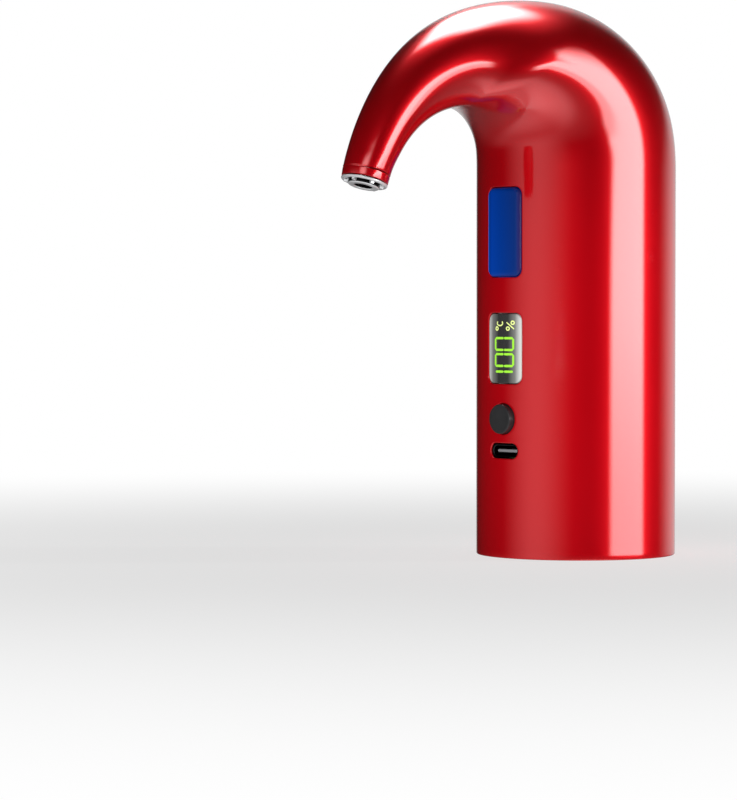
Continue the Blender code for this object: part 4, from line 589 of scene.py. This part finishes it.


# Painted shade: the ring's mouth, the outlet behind its bright end and the spokes turn near black deeper
# inside the nozzle.
ring_finish = plated(ring_end + SHADE_BEHIND, MOUTH_RADIUS + SHADE_BEYOND)
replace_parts(on_nozzle("nozzle_ring", lip, RING_LAND, ring_finish), "aerator_insert")
on_nozzle("nozzle_outlet", outlet, RING_LAND, plated(outlet_end + BRIGHT_EDGE, NOZZLE_RADIUS))
spoke_finish = plated(-GAP, NOZZLE_RADIUS)
for number in range(SPOKE_COUNT):
    turn = SPOKE_PHASE + number * 2 * math.pi / SPOKE_COUNT
    made(f"nozzle_spoke_{number + 1}", *spoke_points(turn), spoke_finish)


# Pour key
# A blue moulded key that stands a little proud of the housing. Its face follows the round body, its
# edges are softly rolled over, and a flange behind the wall keeps it in its window.
KEY_RAISE, KEY_ROLL, FLANGE_LIP = mm(0.7, 1.0, 0.9)
FLANGE_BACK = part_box("pour_key")[1].y
FLANGE_FRONT = FLANGE_BACK - 1.0 * MM
OUTLINE_POINTS, ROLL_STEPS = 72, 7
BACK_SHARES, FACE_SHARES = (0.001, 0.5, 0.97, 1), (0.93, 0.8, 0.6, 0.4, 0.2, 0.001)

BLUE_KEY = finish(
    "blue_key", None, 12, (0.3, 0.36), 0.003, 0.15,
    Specular_IOR_Level=0.2, Coat_Weight=0.15, Coat_Roughness=0.15,
)


def coloured_across(material, stops, both_ways=False):
    """Colours a finish by X of the object's coordinates, in steps of (x, colour) whose first two are the
    ends. Counted both ways, X grows from the middle line to either side."""
    values = Values(material.node_tree)
    x = values.node("SeparateXYZ", {"Vector": values.place()}, "X")
    if both_ways:
        x = values.math("ABSOLUTE", x)
    (low, _), (high, _) = stops[:2]
    colour = values.node("ValToRGB", {"Fac": values.rise(x, low, high, "LINEAR")}, "Color")
    elements = colour.node.color_ramp.elements
    for number, (x, tone) in enumerate(stops):
        position = (x - low) / (high - low)
        element = elements[number] if number < 2 else elements.new(position)
        element.position, element.color = position, (*tone, 1)
    values.fill(material.node_tree.nodes["Principled BSDF"], {"Base Color": colour})


# Painted light across the key: a light blue painted highlight on its left rolled edge, and painted shade
# darkening it towards the right.
coloured_across(BLUE_KEY, [(x * MM, tone) for x, tone in (
    (-5.6, (0.04, 0.2, 0.85)), (5.6, (0.03, 0.02, 0.12)), (-4.8, (0.01, 0.15, 0.7)),
    (-4.4, (0.0, 0.03, 0.24)), (-3.6, (0.0, 0.045, 0.36)), (0, (0.0, 0.034, 0.26)), (4.8, (0.0, 0.022, 0.16)),
)])


def full_outline(size, corner, count=OUTLINE_POINTS):
    """A whole rounded rectangle: the half outline, then its mirror image back up, without the two ends."""
    points, normal = half_outline(size, corner, np.linspace(0, 1, count + 1))
    points = np.concatenate([points, points[-2:0:-1] * (-1, 1)])
    return points, np.concatenate([normal, normal[-2:0:-1] * (-1, 1)])


def stacked(layers, height):
    """A solid made of closed layers of (x, z) points at depths Y, one after the other."""
    return skinned(np.stack([
        np.stack([flat[:, 0], np.broadcast_to(y, len(flat)), flat[:, 1] + height], -1) for flat, y in layers
    ]))


def curved_plate(size, corner, height, raise_by, roll):
    """A plate with a flange: the flange's back and front, the upright side, a rolled edge, and a face on the
    body's curve that closes in on its middle in rings."""
    edge, normal = full_outline(size, corner)
    flange = edge + normal * FLANGE_LIP
    layers = [(flange * share, FLANGE_BACK) for share in BACK_SHARES]
    layers += [(flange, FLANGE_FRONT), (edge, FLANGE_FRONT)]
    for turn in np.linspace(0, np.pi / 2, ROLL_STEPS):
        flat = edge - normal * roll * (1 - np.cos(turn))
        layers.append((flat, on_body(flat[:, 0], BODY_RADIUS + raise_by) + roll * (1 - np.sin(turn))))
    face = edge - normal * roll
    for share in FACE_SHARES:
        layers.append((face * share, on_body(face[:, 0] * share, BODY_RADIUS + raise_by)))
    return stacked(layers, height)


key = curved_plate(KEY_SIZE, KEY_CORNER, KEY_HEIGHT, KEY_RAISE, KEY_ROLL)
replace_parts(made("blue_pour_key", *key, BLUE_KEY, "pour_key"), "pour_key")


# Display window
# A smoked window set flush in the housing, with a painted reflection that lightens it to silver grey towards
# its sides.
# Behind it a numeric module shows the charge that is left, and its lit strokes are drawn here as fine raised
# lines.
LENS_RECESS, LENS_ROLL = mm(0.1, 0.3)
LIT_LIFT, LIT_DEPTH = mm(0.05, 0.1)
DIGIT_HEIGHT, DIGIT_WIDTH, DIGIT_MIDDLE, STROKE = mm(6.7, 3.4, -0.3, 0.56)
SEGMENT_TRIM, SIGN_STROKE = mm(0.04, 0.29)
NOUGHT = [  # the ends of its six segments, as shares of its width and height
    ((0, 1), (1, 1)), ((1, 1), (1, 0.5)), ((1, 0.5), (1, 0)), ((0, 0), (1, 0)), ((0, 0.5), (0, 0)),
    ((0, 1), (0, 0.5)),
]
ONE = NOUGHT[1:3]

SMOKED_GLASS = finish("dark_lens", None, 6, (0.12, 0.16), Coat_Weight=1.0, Coat_Roughness=0.03)
# Dark in the middle and lightening to silver grey towards both sides: a painted reflection.
coloured_across(SMOKED_GLASS, [(share * LENS_SIZE[0] / 2, tone) for share, tone in (
    (0.3, (0.035, 0.036, 0.035)), (0.95, (0.62, 0.64, 0.61)), (0.68, (0.19, 0.195, 0.185)),
)], both_ways=True)
lens = curved_plate(LENS_SIZE, LENS_CORNER, LENS_HEIGHT, -LENS_RECESS, LENS_ROLL)
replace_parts(made("smoked_lens", *lens, SMOKED_GLASS), "display_lens")

LIT_GREEN = finish(
    "lit_green", ((0.2, 0.5, 0.02), (0.26, 0.6, 0.03)), 1, (0.4, 0.5), slot=False,
    Emission_Color=(0.3, 0.72, 0.05, 1), Emission_Strength=0.5,
)
LIT_PALE = finish(
    "lit_pale", ((0.6, 0.7, 0.2), (0.66, 0.76, 0.26)), 1, (0.4, 0.5), slot=False,
    Emission_Color=(0.7, 0.8, 0.3, 1), Emission_Strength=0.4,
)


def stroke_points(path, width, closed=False, pointed=0.0):
    """A raised stroke along a path of (along, up) points of the display: the path's left and right sides,
    at the front and at the back, laid on the lens's curve. The display reads upwards, so along is +Z and
    up is -X. Its ends may be drawn in to points."""
    path = np.asarray(path, float)
    way = np.roll(path, -1, 0) - np.roll(path, 1, 0) if closed else np.gradient(path, axis=0)
    normal = np.stack([-way[:, 1], way[:, 0]], -1) / np.linalg.norm(way, axis=1)[:, None]
    half = np.full(len(path), width / 2)
    if pointed:
        half[[0, -1]] = width / 2 * pointed
    left, right = path + normal * half[:, None], path - normal * half[:, None]
    rings = []
    for edge, lift in ((left, LIT_LIFT), (right, LIT_LIFT), (right, -LIT_DEPTH), (left, -LIT_DEPTH)):
        x, up = -edge[:, 1], edge[:, 0] + LENS_HEIGHT
        rings.append(np.stack([x, on_body(x, BODY_RADIUS - LENS_RECESS) - lift, up], -1))
    return skinned(np.stack(rings, 1), ring=closed)


def drawn(name, strokes, material):
    """Several strokes as one piece."""
    points, faces, count = [], [], 0
    for stroke, quads in strokes:
        points.append(stroke.reshape(-1, 3))
        faces += [[count + corner for corner in quad] for quad in quads]
        count += len(points[-1])
    return made(name, np.concatenate(points), faces, material, sharp=30)


def segment(start, end, at):
    """One lit segment between two corners of a figure, shortened at both ends, with pointed tips."""
    size = np.array([DIGIT_WIDTH - STROKE, DIGIT_HEIGHT - STROKE])
    start, end = (np.array([at, DIGIT_MIDDLE]) + (np.array(corner) - 0.5) * size for corner in (start, end))
    way = (end - start) / np.linalg.norm(end - start)
    tip = SEGMENT_TRIM + STROKE / 2
    shares = np.linspace(0, 1, 9)[:, None]
    body = (start + way * tip) * (1 - shares) + (end - way * tip) * shares
    return stroke_points([start + way * SEGMENT_TRIM, *body, end - way * SEGMENT_TRIM], STROKE, pointed=0.05)


def arc(middle, radii, start, end, count=20):
    """Points of an ellipse's arc from one angle to another, in degrees: the middle plus the radii times
    cosine and sine. Lengths are in mm."""
    angle = np.radians(np.linspace(start, end, count))
    return (middle + radii * np.stack([np.cos(angle), np.sin(angle)], -1)) * MM


for segments, along in ((ONE, -7.0), (NOUGHT, -2.79), (NOUGHT, 1.07)):
    lit = [segment(*ends, along * MM) for ends in segments]
    drawn(f"display_figure_{round(along + 9)}", lit, LIT_GREEN)
drawn("display_degrees", [
    stroke_points(arc((4.8, 2.2), (0.42, 0.42), 0, 342), SIGN_STROKE, closed=True),
    stroke_points(arc((6.1, 1.1), (0.6, 1.0), 50, 310), SIGN_STROKE),
], LIT_PALE)
drawn("display_percent", [
    stroke_points(arc((4.8, -1.65), (0.4, 0.5), 0, 342), SIGN_STROKE, closed=True),
    stroke_points(arc((6.2, -3.2), (0.4, 0.5), 0, 342), SIGN_STROKE, closed=True),
    stroke_points([mm(4.7, -3.6), mm(6.3, -1.25)], SIGN_STROKE),
], LIT_PALE)


# Power button
# A round black button of fine-grained plastic, flat on top with a rolled edge, which stands proud of
# the housing and is pressed in against its switch.
BUTTON_RAISE, BUTTON_ROLL, BUTTON_DISH = mm(1.2, 0.5, 0.08)
BLACK_PLASTIC = finish(
    "black_plastic", ((0.016, 0.016, 0.017), (0.026, 0.026, 0.027)), 3, (0.32, 0.42),
    0.004, 0.12,
)
face = BODY_RADIUS + BUTTON_RAISE
button = [
    (0, face - BUTTON_DISH), (BUTTON_RADIUS * 0.5, face - BUTTON_DISH * 0.6), (BUTTON_RADIUS * 0.8, face),
    (BUTTON_RADIUS, face), (BUTTON_RADIUS, -FLANGE_FRONT), (BUTTON_RADIUS + FLANGE_LIP, -FLANGE_FRONT),
    (BUTTON_RADIUS + FLANGE_LIP, -FLANGE_BACK), (0, -FLANGE_BACK),
]
button = turned(rounded(button, BUTTON_ROLL), at=(0, 0, BUTTON_HEIGHT), tilt=-math.pi / 2)
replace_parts(made("black_power_button", *button, BLACK_PLASTIC, "power_button"), "power_button")


# Charging port
# A drawn metal shell, soldered to the board behind the wall, with a flat contact tongue in its mouth.
# A thin bright edge shows round the opening in the paint.
SHELL_WALL, SHELL_CHAMFER = mm(0.3, 0.1)
TONGUE_SIZE, TONGUE_EASE = mm(6.7, 0.7), 0.15 * MM
shell_low, shell_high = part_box("usb_socket")
tongue_low, tongue_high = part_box("usb_tongue")
DARK_STEEL = finish(
    "dark_steel", ((0.05, 0.05, 0.052), (0.09, 0.09, 0.095)), 1.5, (0.3, 0.42), stretch=(1, 0.2, 1),
    Metallic=1.0,
)
GREY_PLASTIC = finish("grey_plastic", ((0.17, 0.17, 0.18), (0.22, 0.22, 0.23)), 4, (0.45, 0.55), 0.004, 0.15)
size = (shell_high.x - shell_low.x, shell_high.z - shell_low.z)
edge, normal = full_outline(size, size[1] * ROUND_END_SHARE, 40)
bore, mouth = edge - normal * SHELL_WALL, shell_low.y + SHELL_CHAMFER
shell = [(edge, shell_high.y), (edge, mouth), (edge - normal * SHELL_CHAMFER, shell_low.y)]
shell += [(bore, mouth), (bore, tongue_high.y + GAP)]
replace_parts(made("port_shell", *stacked(shell, PORT_HEIGHT), DARK_STEEL), "usb_socket")
edge, normal = full_outline(TONGUE_SIZE, TONGUE_SIZE[1] * 0.3, 24)
tongue = [(edge - normal * TONGUE_EASE, tongue_low.y), (edge, tongue_low.y + TONGUE_EASE)]
tongue.append((edge, tongue_high.y))
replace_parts(made("port_tongue", *stacked(tongue, PORT_HEIGHT), GREY_PLASTIC), "usb_tongue")


# Base cup
# A black moulded cup that lines the socket under the body and closes the housing from below.
# Its floor has holes for both inlets and for the four screws that hold it.
cup_low, cup_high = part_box("base_cup")
CUP_RADIUS = cup_high.x
CUP_WALL, CUP_FLOOR, CUP_EASE = mm(1.2, 2.3, 0.4)
WINE_LINE, WINE_INLET_RADIUS = mm(0, -4.2), 2.3 * MM
AIR_LINE, AIR_INLET_RADIUS = mm(2.6, 3.4), 1.9 * MM
SCREW_HOLE = 1.3 * MM
BASE_SCREWS = [f"base_screw_{number}" for number in (1, 2, 3, 4)]


def filled(points, loops):
    """Triangles of a flat face between closed loops of point numbers: its edge and the holes in it."""
    edges = np.concatenate([np.stack([loop, np.roll(loop, 1)], -1) for loop in loops])
    mesh = bpy.data.meshes.new("flat")
    mesh.from_pydata(points.tolist(), edges.tolist(), [])
    shape = bmesh.new()
    shape.from_mesh(mesh)
    bmesh.ops.triangle_fill(shape, use_beauty=True, edges=shape.edges[:])
    shape.to_mesh(mesh)
    shape.free()
    corners = read(mesh.loops, "vertex_index", 1, np.int32)
    bpy.data.meshes.remove(mesh)
    return corners.reshape(-1, 3).tolist()


def pierced(profile, holes, count=96):
    """Points and faces of a turned solid whose profile of (radius, height) starts and ends on two flat
    faces, with round holes of (middle, radius) between them. Each loop is a circle about its middle."""
    circles = [(0, 0, *step) for step in profile]
    circles += [(*middle, radius, profile[end][1]) for middle, radius in holes for end in (0, -1)]
    x, y, radius, height = np.array(circles, float).T[:, :, None]
    angle = np.arange(count) * 2 * np.pi / count
    grid = np.broadcast_arrays(x + radius * np.cos(angle), y + radius * np.sin(angle), height)
    points = np.stack(grid, -1).reshape(-1, 3)
    numbers = np.arange(len(points)).reshape(-1, count)
    walls = np.split(numbers, range(len(profile), len(circles), 2))
    faces = [quad for wall in walls for quad in strips(wall, closed=True)]
    for end in (0, -1):
        faces += filled(points, [wall[end] for wall in walls])
    return points, faces


def eased(profile, radius):
    """An open profile with its corners rounded and its two ends kept."""
    closed = rounded([(0, profile[0][1]), *profile[1:-1], (0, profile[-1][1])], radius)
    return [profile[0], *closed[1:-1].tolist(), profile[-1]]


screw_boxes = [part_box(name) for name in BASE_SCREWS]
screw_places = [((low.x + high.x) / 2, (low.y + high.y) / 2) for low, high in screw_boxes]
inlet_holes = [(WINE_LINE, WINE_INLET_RADIUS + GAP), (AIR_LINE, AIR_INLET_RADIUS + GAP)]
cup_inside, socket_top = CUP_RADIUS - CUP_WALL, cup_high.z - CUP_FLOOR
cup = [
    (cup_inside - 2 * CUP_EASE, socket_top), (cup_inside, socket_top), (cup_inside, cup_low.z),
    (CUP_RADIUS, cup_low.z), (CUP_RADIUS, cup_high.z), (CUP_RADIUS - 2 * CUP_EASE, cup_high.z),
]
holes = inlet_holes + [(place, SCREW_HOLE) for place in screw_places]
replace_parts(made("moulded_cup", *pierced(eased(cup, CUP_EASE), holes), BLACK_PLASTIC), "base_cup")


# Base screws
# Four pan-head steel screws, up through the cup's floor and the chassis into the housing's bosses.
# Their heads are domed, with a shallow round recess.
HEAD_THICKNESS, SHANK_RADIUS, RECESS_RADIUS, RECESS_DEPTH = mm(1.2, 1.0, 0.9, 0.5)
SCREW_POINT, SCREW_EASE = mm(0.6, 0.3)
STEEL = finish(
    "steel", ((0.5, 0.5, 0.51), (0.6, 0.6, 0.61)), 3, (0.24, 0.34), 0.002, 0.2, (1, 1, 0.15),
    Metallic=1.0,
)
for name, (low, high), place in zip(BASE_SCREWS, screw_boxes, screw_places):
    head, seat, recess = (high.x - low.x) / 2, low.z + HEAD_THICKNESS, low.z + RECESS_DEPTH
    screw = [
        (0, recess), (RECESS_RADIUS * 0.7, recess), (RECESS_RADIUS, low.z), (head * 0.8, low.z),
        (head, low.z + HEAD_THICKNESS * 0.6), (head, seat), (SHANK_RADIUS, seat),
        (SHANK_RADIUS, high.z - SCREW_POINT), (0, high.z),
    ]
    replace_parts(made(f"domed_{name}", *turned(rounded(screw, SCREW_EASE), 48, (*place, 0)), STEEL), name)


# Mouth gasket and stopper
# A flat ring of black silicone under the cup's floor, and a tapered plug with three ribs that both
# inlets pass through. They seal what the aerator stands on.
gasket_low, gasket_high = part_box("mouth_gasket")
stopper_low, stopper_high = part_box("stopper")
GASKET_BORE, STOPPER_TOP, STOPPER_END = mm(10.2, 8.9, 7.9)
RUBBER_EASE, PLUG_EDGE, RIB_REACH, RIB_LENGTH = mm(0.4, 1.0, 1.0, 2.4)
RIB_COUNT, RIB_START, RIB_PITCH = 3, 0.18, 0.27
BLACK_SILICONE = finish(
    "black_silicone", ((0.02, 0.02, 0.021), (0.03, 0.03, 0.031)), 5, (0.5, 0.6), 0.003, 0.3
)
gasket = [
    (GASKET_BORE, gasket_low.z), (gasket_high.x, gasket_low.z), (gasket_high.x, gasket_high.z),
    (GASKET_BORE, gasket_high.z),
]
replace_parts(made("soft_gasket", *turned(rounded(gasket, RUBBER_EASE)), BLACK_SILICONE), "mouth_gasket")
length = stopper_high.z - stopper_low.z


def taper(height):
    """Radius and height of a point on the plug's side: the radius grows evenly towards the cup's floor."""
    return STOPPER_END + (STOPPER_TOP - STOPPER_END) * (height - stopper_low.z) / length, height


plug = [(STOPPER_TOP - PLUG_EDGE, stopper_high.z), (STOPPER_TOP, stopper_high.z)]
for number in range(RIB_COUNT):
    radius, height = taper(stopper_high.z - length * (RIB_START + RIB_PITCH * number))
    plug += [(radius, height), (radius + RIB_REACH, height), taper(height - RIB_LENGTH)]
plug += [(STOPPER_END, stopper_low.z), (STOPPER_END - PLUG_EDGE, stopper_low.z)]
ribbed = pierced(eased(plug, RUBBER_EASE), inlet_holes)
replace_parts(made("ribbed_stopper", *ribbed, BLACK_SILICONE), "stopper")


# Inlets
# Two steel tubes through the stopper, each with a flange on the cup's floor and a barb above it for its
# silicone tube. The longer flange is on the wine inlet, which has a ridge below for a suction hose.
INLET_FLANGE, HOSE_RIDGE, RIDGE_LENGTH, INLET_EASE = mm(1.0, 0.4, 1.2, 0.2)
for name, place, radius, barb, bore, ridge in (
    ("wine_inlet", WINE_LINE, WINE_INLET_RADIUS, 2.0 * MM, 1.4 * MM, HOSE_RIDGE),
    ("air_inlet", AIR_LINE, AIR_INLET_RADIUS, 1.3 * MM, 0.7 * MM, 0),
):
    low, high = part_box(name)
    seat, flange, step = cup_high.z + GAP, (high.x - low.x) / 2, low.z + RIDGE_LENGTH
    tube = [(bore, high.z), (barb, high.z), (barb, seat + INLET_FLANGE), (flange, seat + INLET_FLANGE)]
    tube += [(flange, seat), (radius, seat), (radius, step), (radius + ridge, step), (radius, low.z)]
    tube.append((bore, low.z))
    if not ridge:
        del tube[6:8]
    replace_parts(made(f"turned_{name}", *turned(rounded(tube, INLET_EASE), 64, (*place, 0)), STEEL), name)


# Board and its parts
# A green board behind the panel, with the numeric module, two push switches with white plungers, the
# controller and the connectors for the battery and the motor.
def dress(material, *names):
    """Puts a finish on solids that are shown as they are. It sits on the object, not on its mesh."""
    for name in names:
        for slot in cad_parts[name].material_slots:
            slot.link = "OBJECT"
            slot.material = material


WHITE_PLASTIC = finish("white_plastic", ((0.66, 0.65, 0.62), (0.74, 0.73, 0.7)), 4, (0.38, 0.48), 0.003, 0.2)
BOARD_GREEN = finish(
    "board_green", ((0.008, 0.09, 0.03), (0.02, 0.16, 0.06)), 1.2, (0.25, 0.4),
    0.01, 0.5, (1, 1, 0.3), Coat_Weight=0.4, Coat_Roughness=0.15,
)
dress(BOARD_GREEN, "circuit_board")
dress(BLACK_PLASTIC, "display_module", "pour_switch", "power_switch", "controller_chip")
dress(WHITE_PLASTIC, "pour_switch_plunger", "power_switch_plunger", "battery_connector", "motor_connector")


# Chassis, clamps and their screws
# A grey moulded frame carries the board, the pump and the cell. Two black half rings clamp the pump and
# the cell to it, each with a screw of its own.
dress(GREY_PLASTIC, "chassis")
dress(BLACK_PLASTIC, "pump_clamp", "battery_clamp")
dress(STEEL, "pump_clamp_screw", "battery_clamp_screw", "board_screw_1", "board_screw_2")


# Air pump
# A small motor in a steel can, with two magnets round its wound armature. Its eccentric drives a
# diaphragm between the plates of the pump's head.
MAGNET = finish("magnet", ((0.05, 0.05, 0.055), (0.08, 0.08, 0.085)), 2, (0.55, 0.7), 0.01, 0.3)
COPPER = finish(
    "copper", ((0.62, 0.26, 0.12), (0.75, 0.36, 0.18)), 0.6, (0.28, 0.42), 0.02, 0.25,
    (1, 1, 4), Metallic=1.0,
)
BRASS = finish("brass", ((0.66, 0.47, 0.16), (0.76, 0.56, 0.22)), 2, (0.22, 0.34), Metallic=1.0)
dress(STEEL, "motor_can", "motor_shaft")
dress(WHITE_PLASTIC, "motor_end_cap", "eccentric", "drive_plate", "valve_plate")
dress(MAGNET, "magnet_1", "magnet_2")
dress(COPPER, "armature")
dress(BRASS, "commutator", "shaft_bush")
dress(BLACK_PLASTIC, "pump_head_case", "pump_cap")
dress(BLACK_SILICONE, "diaphragm")


# Air line and wine line
# Clear silicone tubes lead the air from the pump through a check valve down to its inlet, and join the
# other inlet to the nozzle, up along the hook.
CLEAR_SILICONE = finish(
    "clear_silicone", ((0.82, 0.84, 0.85), (0.88, 0.89, 0.9)), 6, (0.22, 0.34), 0.003, 0.5,
    Transmission_Weight=0.55, IOR=1.41,
)
dress(CLEAR_SILICONE, "air_tube_upper", "air_tube_lower", "check_valve_bill", "wine_tube")
dress(WHITE_PLASTIC, "check_valve_body")


# Battery and leads
# A wrapped cell with nickel tabs on both ends, joined to the board by a red and a black lead, like the
# pair that feeds the motor.
CELL_WRAP = finish(
    "cell_wrap", ((0.03, 0.12, 0.3), (0.04, 0.16, 0.38)), 8, (0.25, 0.36), 0.004, 1.5,
    (1, 1, 0.2), Coat_Weight=0.3, Coat_Roughness=0.1,
)
RED_LEAD = finish("red_lead", ((0.55, 0.01, 0.01), (0.65, 0.02, 0.015)), 2, (0.4, 0.5), 0.002, 0.3)
BLACK_LEAD = finish("black_lead", ((0.012, 0.012, 0.013), (0.02, 0.02, 0.021)), 2, (0.4, 0.5), 0.002, 0.3)
dress(CELL_WRAP, "battery_cell")
dress(PLATING, "battery_tab_top", "battery_tab_bottom")
dress(RED_LEAD, "battery_lead_plus", "motor_lead_plus")
dress(BLACK_LEAD, "battery_lead_minus", "motor_lead_minus")


# Floor, lamps and camera
# A plain pale floor under the rim, soft boxes for the long highlights on the paint, and a white
# surround for what looks past the aerator.
CAMERA_TURN, CAMERA_DISTANCE, CAMERA_HEIGHT = 46, 0.8, 58.4 * MM
CAMERA_LENS, SENSOR_WIDTH, AIM_LEFT, AIM_DOWN = 146.16, 36, math.radians(3.65), math.radians(1.48)
LAMP_DISTANCE = 0.9
SIDE_AIM, TOP_AIM = mm(45, 67)


def direction(azimuth, elevation):
    """Unit vector towards an azimuth, counted from -Y towards +X, and an elevation, in degrees."""
    azimuth, elevation = math.radians(azimuth), math.radians(elevation)
    level = math.cos(elevation)
    return np.array([level * math.sin(azimuth), -level * math.cos(azimuth), math.sin(elevation)])


def lamp(name, kind, azimuth, elevation, middle, **settings):
    """A lamp that faces a point on the body's axis. The paint doesn't mirror it."""
    light = bpy.data.lights.new(name, kind)
    for setting, value in settings.items():
        setattr(light, setting, value)
    stand = placed(name, light)
    stand.location = direction(azimuth, elevation) * LAMP_DISTANCE + (0, 0, middle)
    stand.rotation_euler = (math.radians(90 - elevation), 0, math.radians(azimuth))
    stand.visible_glossy = False


# The lamps only shade. What the paint mirrors of the studio is drawn by direction in the world below.
SPOT = dict(spot_size=math.radians(11), spot_blend=0.8, shadow_soft_size=0.04)
lamp("key_lamp", "SPOT", 28, 0, SIDE_AIM, energy=32, **SPOT)
lamp("right_lamp", "SPOT", 142, 2, SIDE_AIM, energy=42, **SPOT)
lamp("top_lamp", "AREA", 226, 72, TOP_AIM, energy=0.6, size=0.7)

# The camera sees white all round. The studio that is mirrored is dim, with the white backdrop behind the
# aerator, a tall strip on the right, a broad soft box on the left, a small one in front, one overhead, and
# the pale ground. Azimuths are counted from the camera, positive to its right. The overhead box lies on a
# ceiling one unit up: it narrows behind by the taper, and its front edge slants.
AMBIENT, DIM, BACKDROP, STRIP, SOFT_BOX = 0.05, 0.01, 0.6, 6.6, 0.5
FRONT_BOX, OVERHEAD, TAPER, SLANT, HORIZON = 2.4, 11.0, 0.22, -0.4, 0.01
GROUND, GROUND_LEFT, GROUND_AHEAD, GROUND_UNDER = 0.22, 0.3, 3.0, 2.0
world = bpy.data.worlds.new("surround")
world.use_nodes = True
values = Values(world.node_tree)
way = values.node("TexCoord", {}, "Generated")
axes = direction(CAMERA_TURN, 0), direction(CAMERA_TURN + 90, 0), (0, 0, 1)
ahead, right, up = (values.vector("DOT_PRODUCT", way, axis) for axis in axes)
azimuth, elevation = values.math("ARCTAN2", right, ahead), values.math("ARCSINE", up)
rise, mixed, product, total = values.rise, values.mixed, values.product, values.total


def over(angle, *pairs):
    """Product of an angle's rises over pairs of degrees, each from where it is dark to where it is full."""
    return product(*(rise(angle, *map(math.radians, pair)) for pair in pairs))


def shifted(by, *pair):
    """The azimuth less an angle, in degrees, that grows with the elevation over a pair of degrees."""
    return values.math("SUBTRACT", azimuth, product(over(elevation, pair), math.radians(by)))


strip = product(
    over(shifted(18, 0, 12), (37, 45)), over(azimuth, (87.5, 80.5)), over(elevation, (-11, -7), (39, 15)),
    mixed(over(elevation, (-4, 1)), 0.6 * STRIP, STRIP),
)
soft = product(over(azimuth, (-95, -48), (0, -45)), over(elevation, (30, 5), (-50, -8)), SOFT_BOX)
front = product(over(azimuth, (-32, -14), (12, -6)), over(elevation, (4, 14), (34, 24)), FRONT_BOX)
height = values.math("MAXIMUM", up, HORIZON)
across, along = (values.math("DIVIDE", level, height) for level in (right, ahead))
behind = product(rise(along, -0.3, -1.1), TAPER)
overhead = product(
    rise(across, -0.38, -0.15), rise(total(across, behind), 0.38, 0.2),
    rise(total(along, product(across, SLANT)), 0.12, -0.1),
    rise(along, -1.5, -0.7), OVERHEAD,
)
aside = values.math("MAXIMUM", over(shifted(38, 0, 20), (108, 140)), over(azimuth, (-160, -173)))
backdrop = product(aside, over(elevation, (50, 30), (-20, -4)), BACKDROP)
front_right = product(over(azimuth, (-20, 30), (80, 50)), over(elevation, (-25, -45)), GROUND_AHEAD)
underneath = product(over(elevation, (-35, -75)), GROUND_UNDER)
ground = product(
    over(elevation, (-3, -38)), mixed(over(azimuth, (-125, -95)), GROUND_LEFT, 1.0),
    total(1.0, front_right, underneath), GROUND,
)
mirrored = total(DIM, strip, soft, front, overhead, backdrop, ground)
strength = mixed(values.ray("Glossy"), AMBIENT, mirrored)
seen = values.math("MAXIMUM", values.ray("Camera"), values.ray("Transmission"))
background = {"Color": (1, 1, 1, 1), "Strength": mixed(seen, strength, 1.0)}
values.fill(world.node_tree.nodes["Background"], background)
bpy.context.scene.world = world

# The floor returns a share of light to the aerator. To the camera it fades into the surround, from a soft
# shadow beside the rim, and from below it isn't there.
FLOOR_RADIUS, SHADOW_RADIUS, SHADOW_GLOW, BOUNCE = 0.45, 0.07, 0.7, 0.5
shape = bmesh.new()
bmesh.ops.create_circle(shape, cap_ends=True, segments=96, radius=FLOOR_RADIUS)
bmesh.ops.translate(shape, verts=shape.verts, vec=(0, 0, cad_low.z))
floor_mesh = bpy.data.meshes.new("floor")
shape.to_mesh(floor_mesh)
shape.free()
floor = placed("floor", floor_mesh)
floor.visible_glossy = False
floor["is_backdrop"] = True
PALE_FLOOR = finish(
    "pale_floor", ((0.8, 0.8, 0.8), (0.82, 0.82, 0.82)), 100, (0.7, 0.8), slot=False, Specular_IOR_Level=0.0
)
values = Values(PALE_FLOOR.node_tree)
nodes = PALE_FLOOR.node_tree.nodes
far = values.vector("LENGTH", values.place())
glow = values.mixed(values.rise(far, SHADOW_RADIUS, FLOOR_RADIUS), SHADOW_GLOW, 1.0)
fade = values.total(values.product(glow, values.ray("Camera")), values.product(values.ray("Diffuse"), BOUNCE))
white = values.node("Emission", {}, "Emission")
lit = values.node("MixShader", {"Fac": fade, 1: nodes["Principled BSDF"].outputs["BSDF"], 2: white}, "Shader")
below = values.product(values.node("NewGeometry", {}, "Backfacing"), values.ray("Camera"))
clear = values.node("BsdfTransparent", {}, "BSDF")
surface = values.node("MixShader", {"Fac": below, 1: lit, 2: clear}, "Shader")
values.fill(nodes["Material Output"], {"Surface": surface})
floor_mesh.materials.append(PALE_FLOOR)

camera_data = bpy.data.cameras.new("camera")
camera_data.lens, camera_data.sensor_width = CAMERA_LENS, SENSOR_WIDTH
camera = placed("camera", camera_data)
camera.location = direction(CAMERA_TURN, 0) * CAMERA_DISTANCE + (0, 0, CAMERA_HEIGHT)
camera.rotation_euler = (math.pi / 2 - AIM_DOWN, 0, math.radians(CAMERA_TURN) + AIM_LEFT)
bpy.context.scene.camera = camera


# Sizes
# The box of the solids and that of the finished pieces, kept side by side.
low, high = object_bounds()
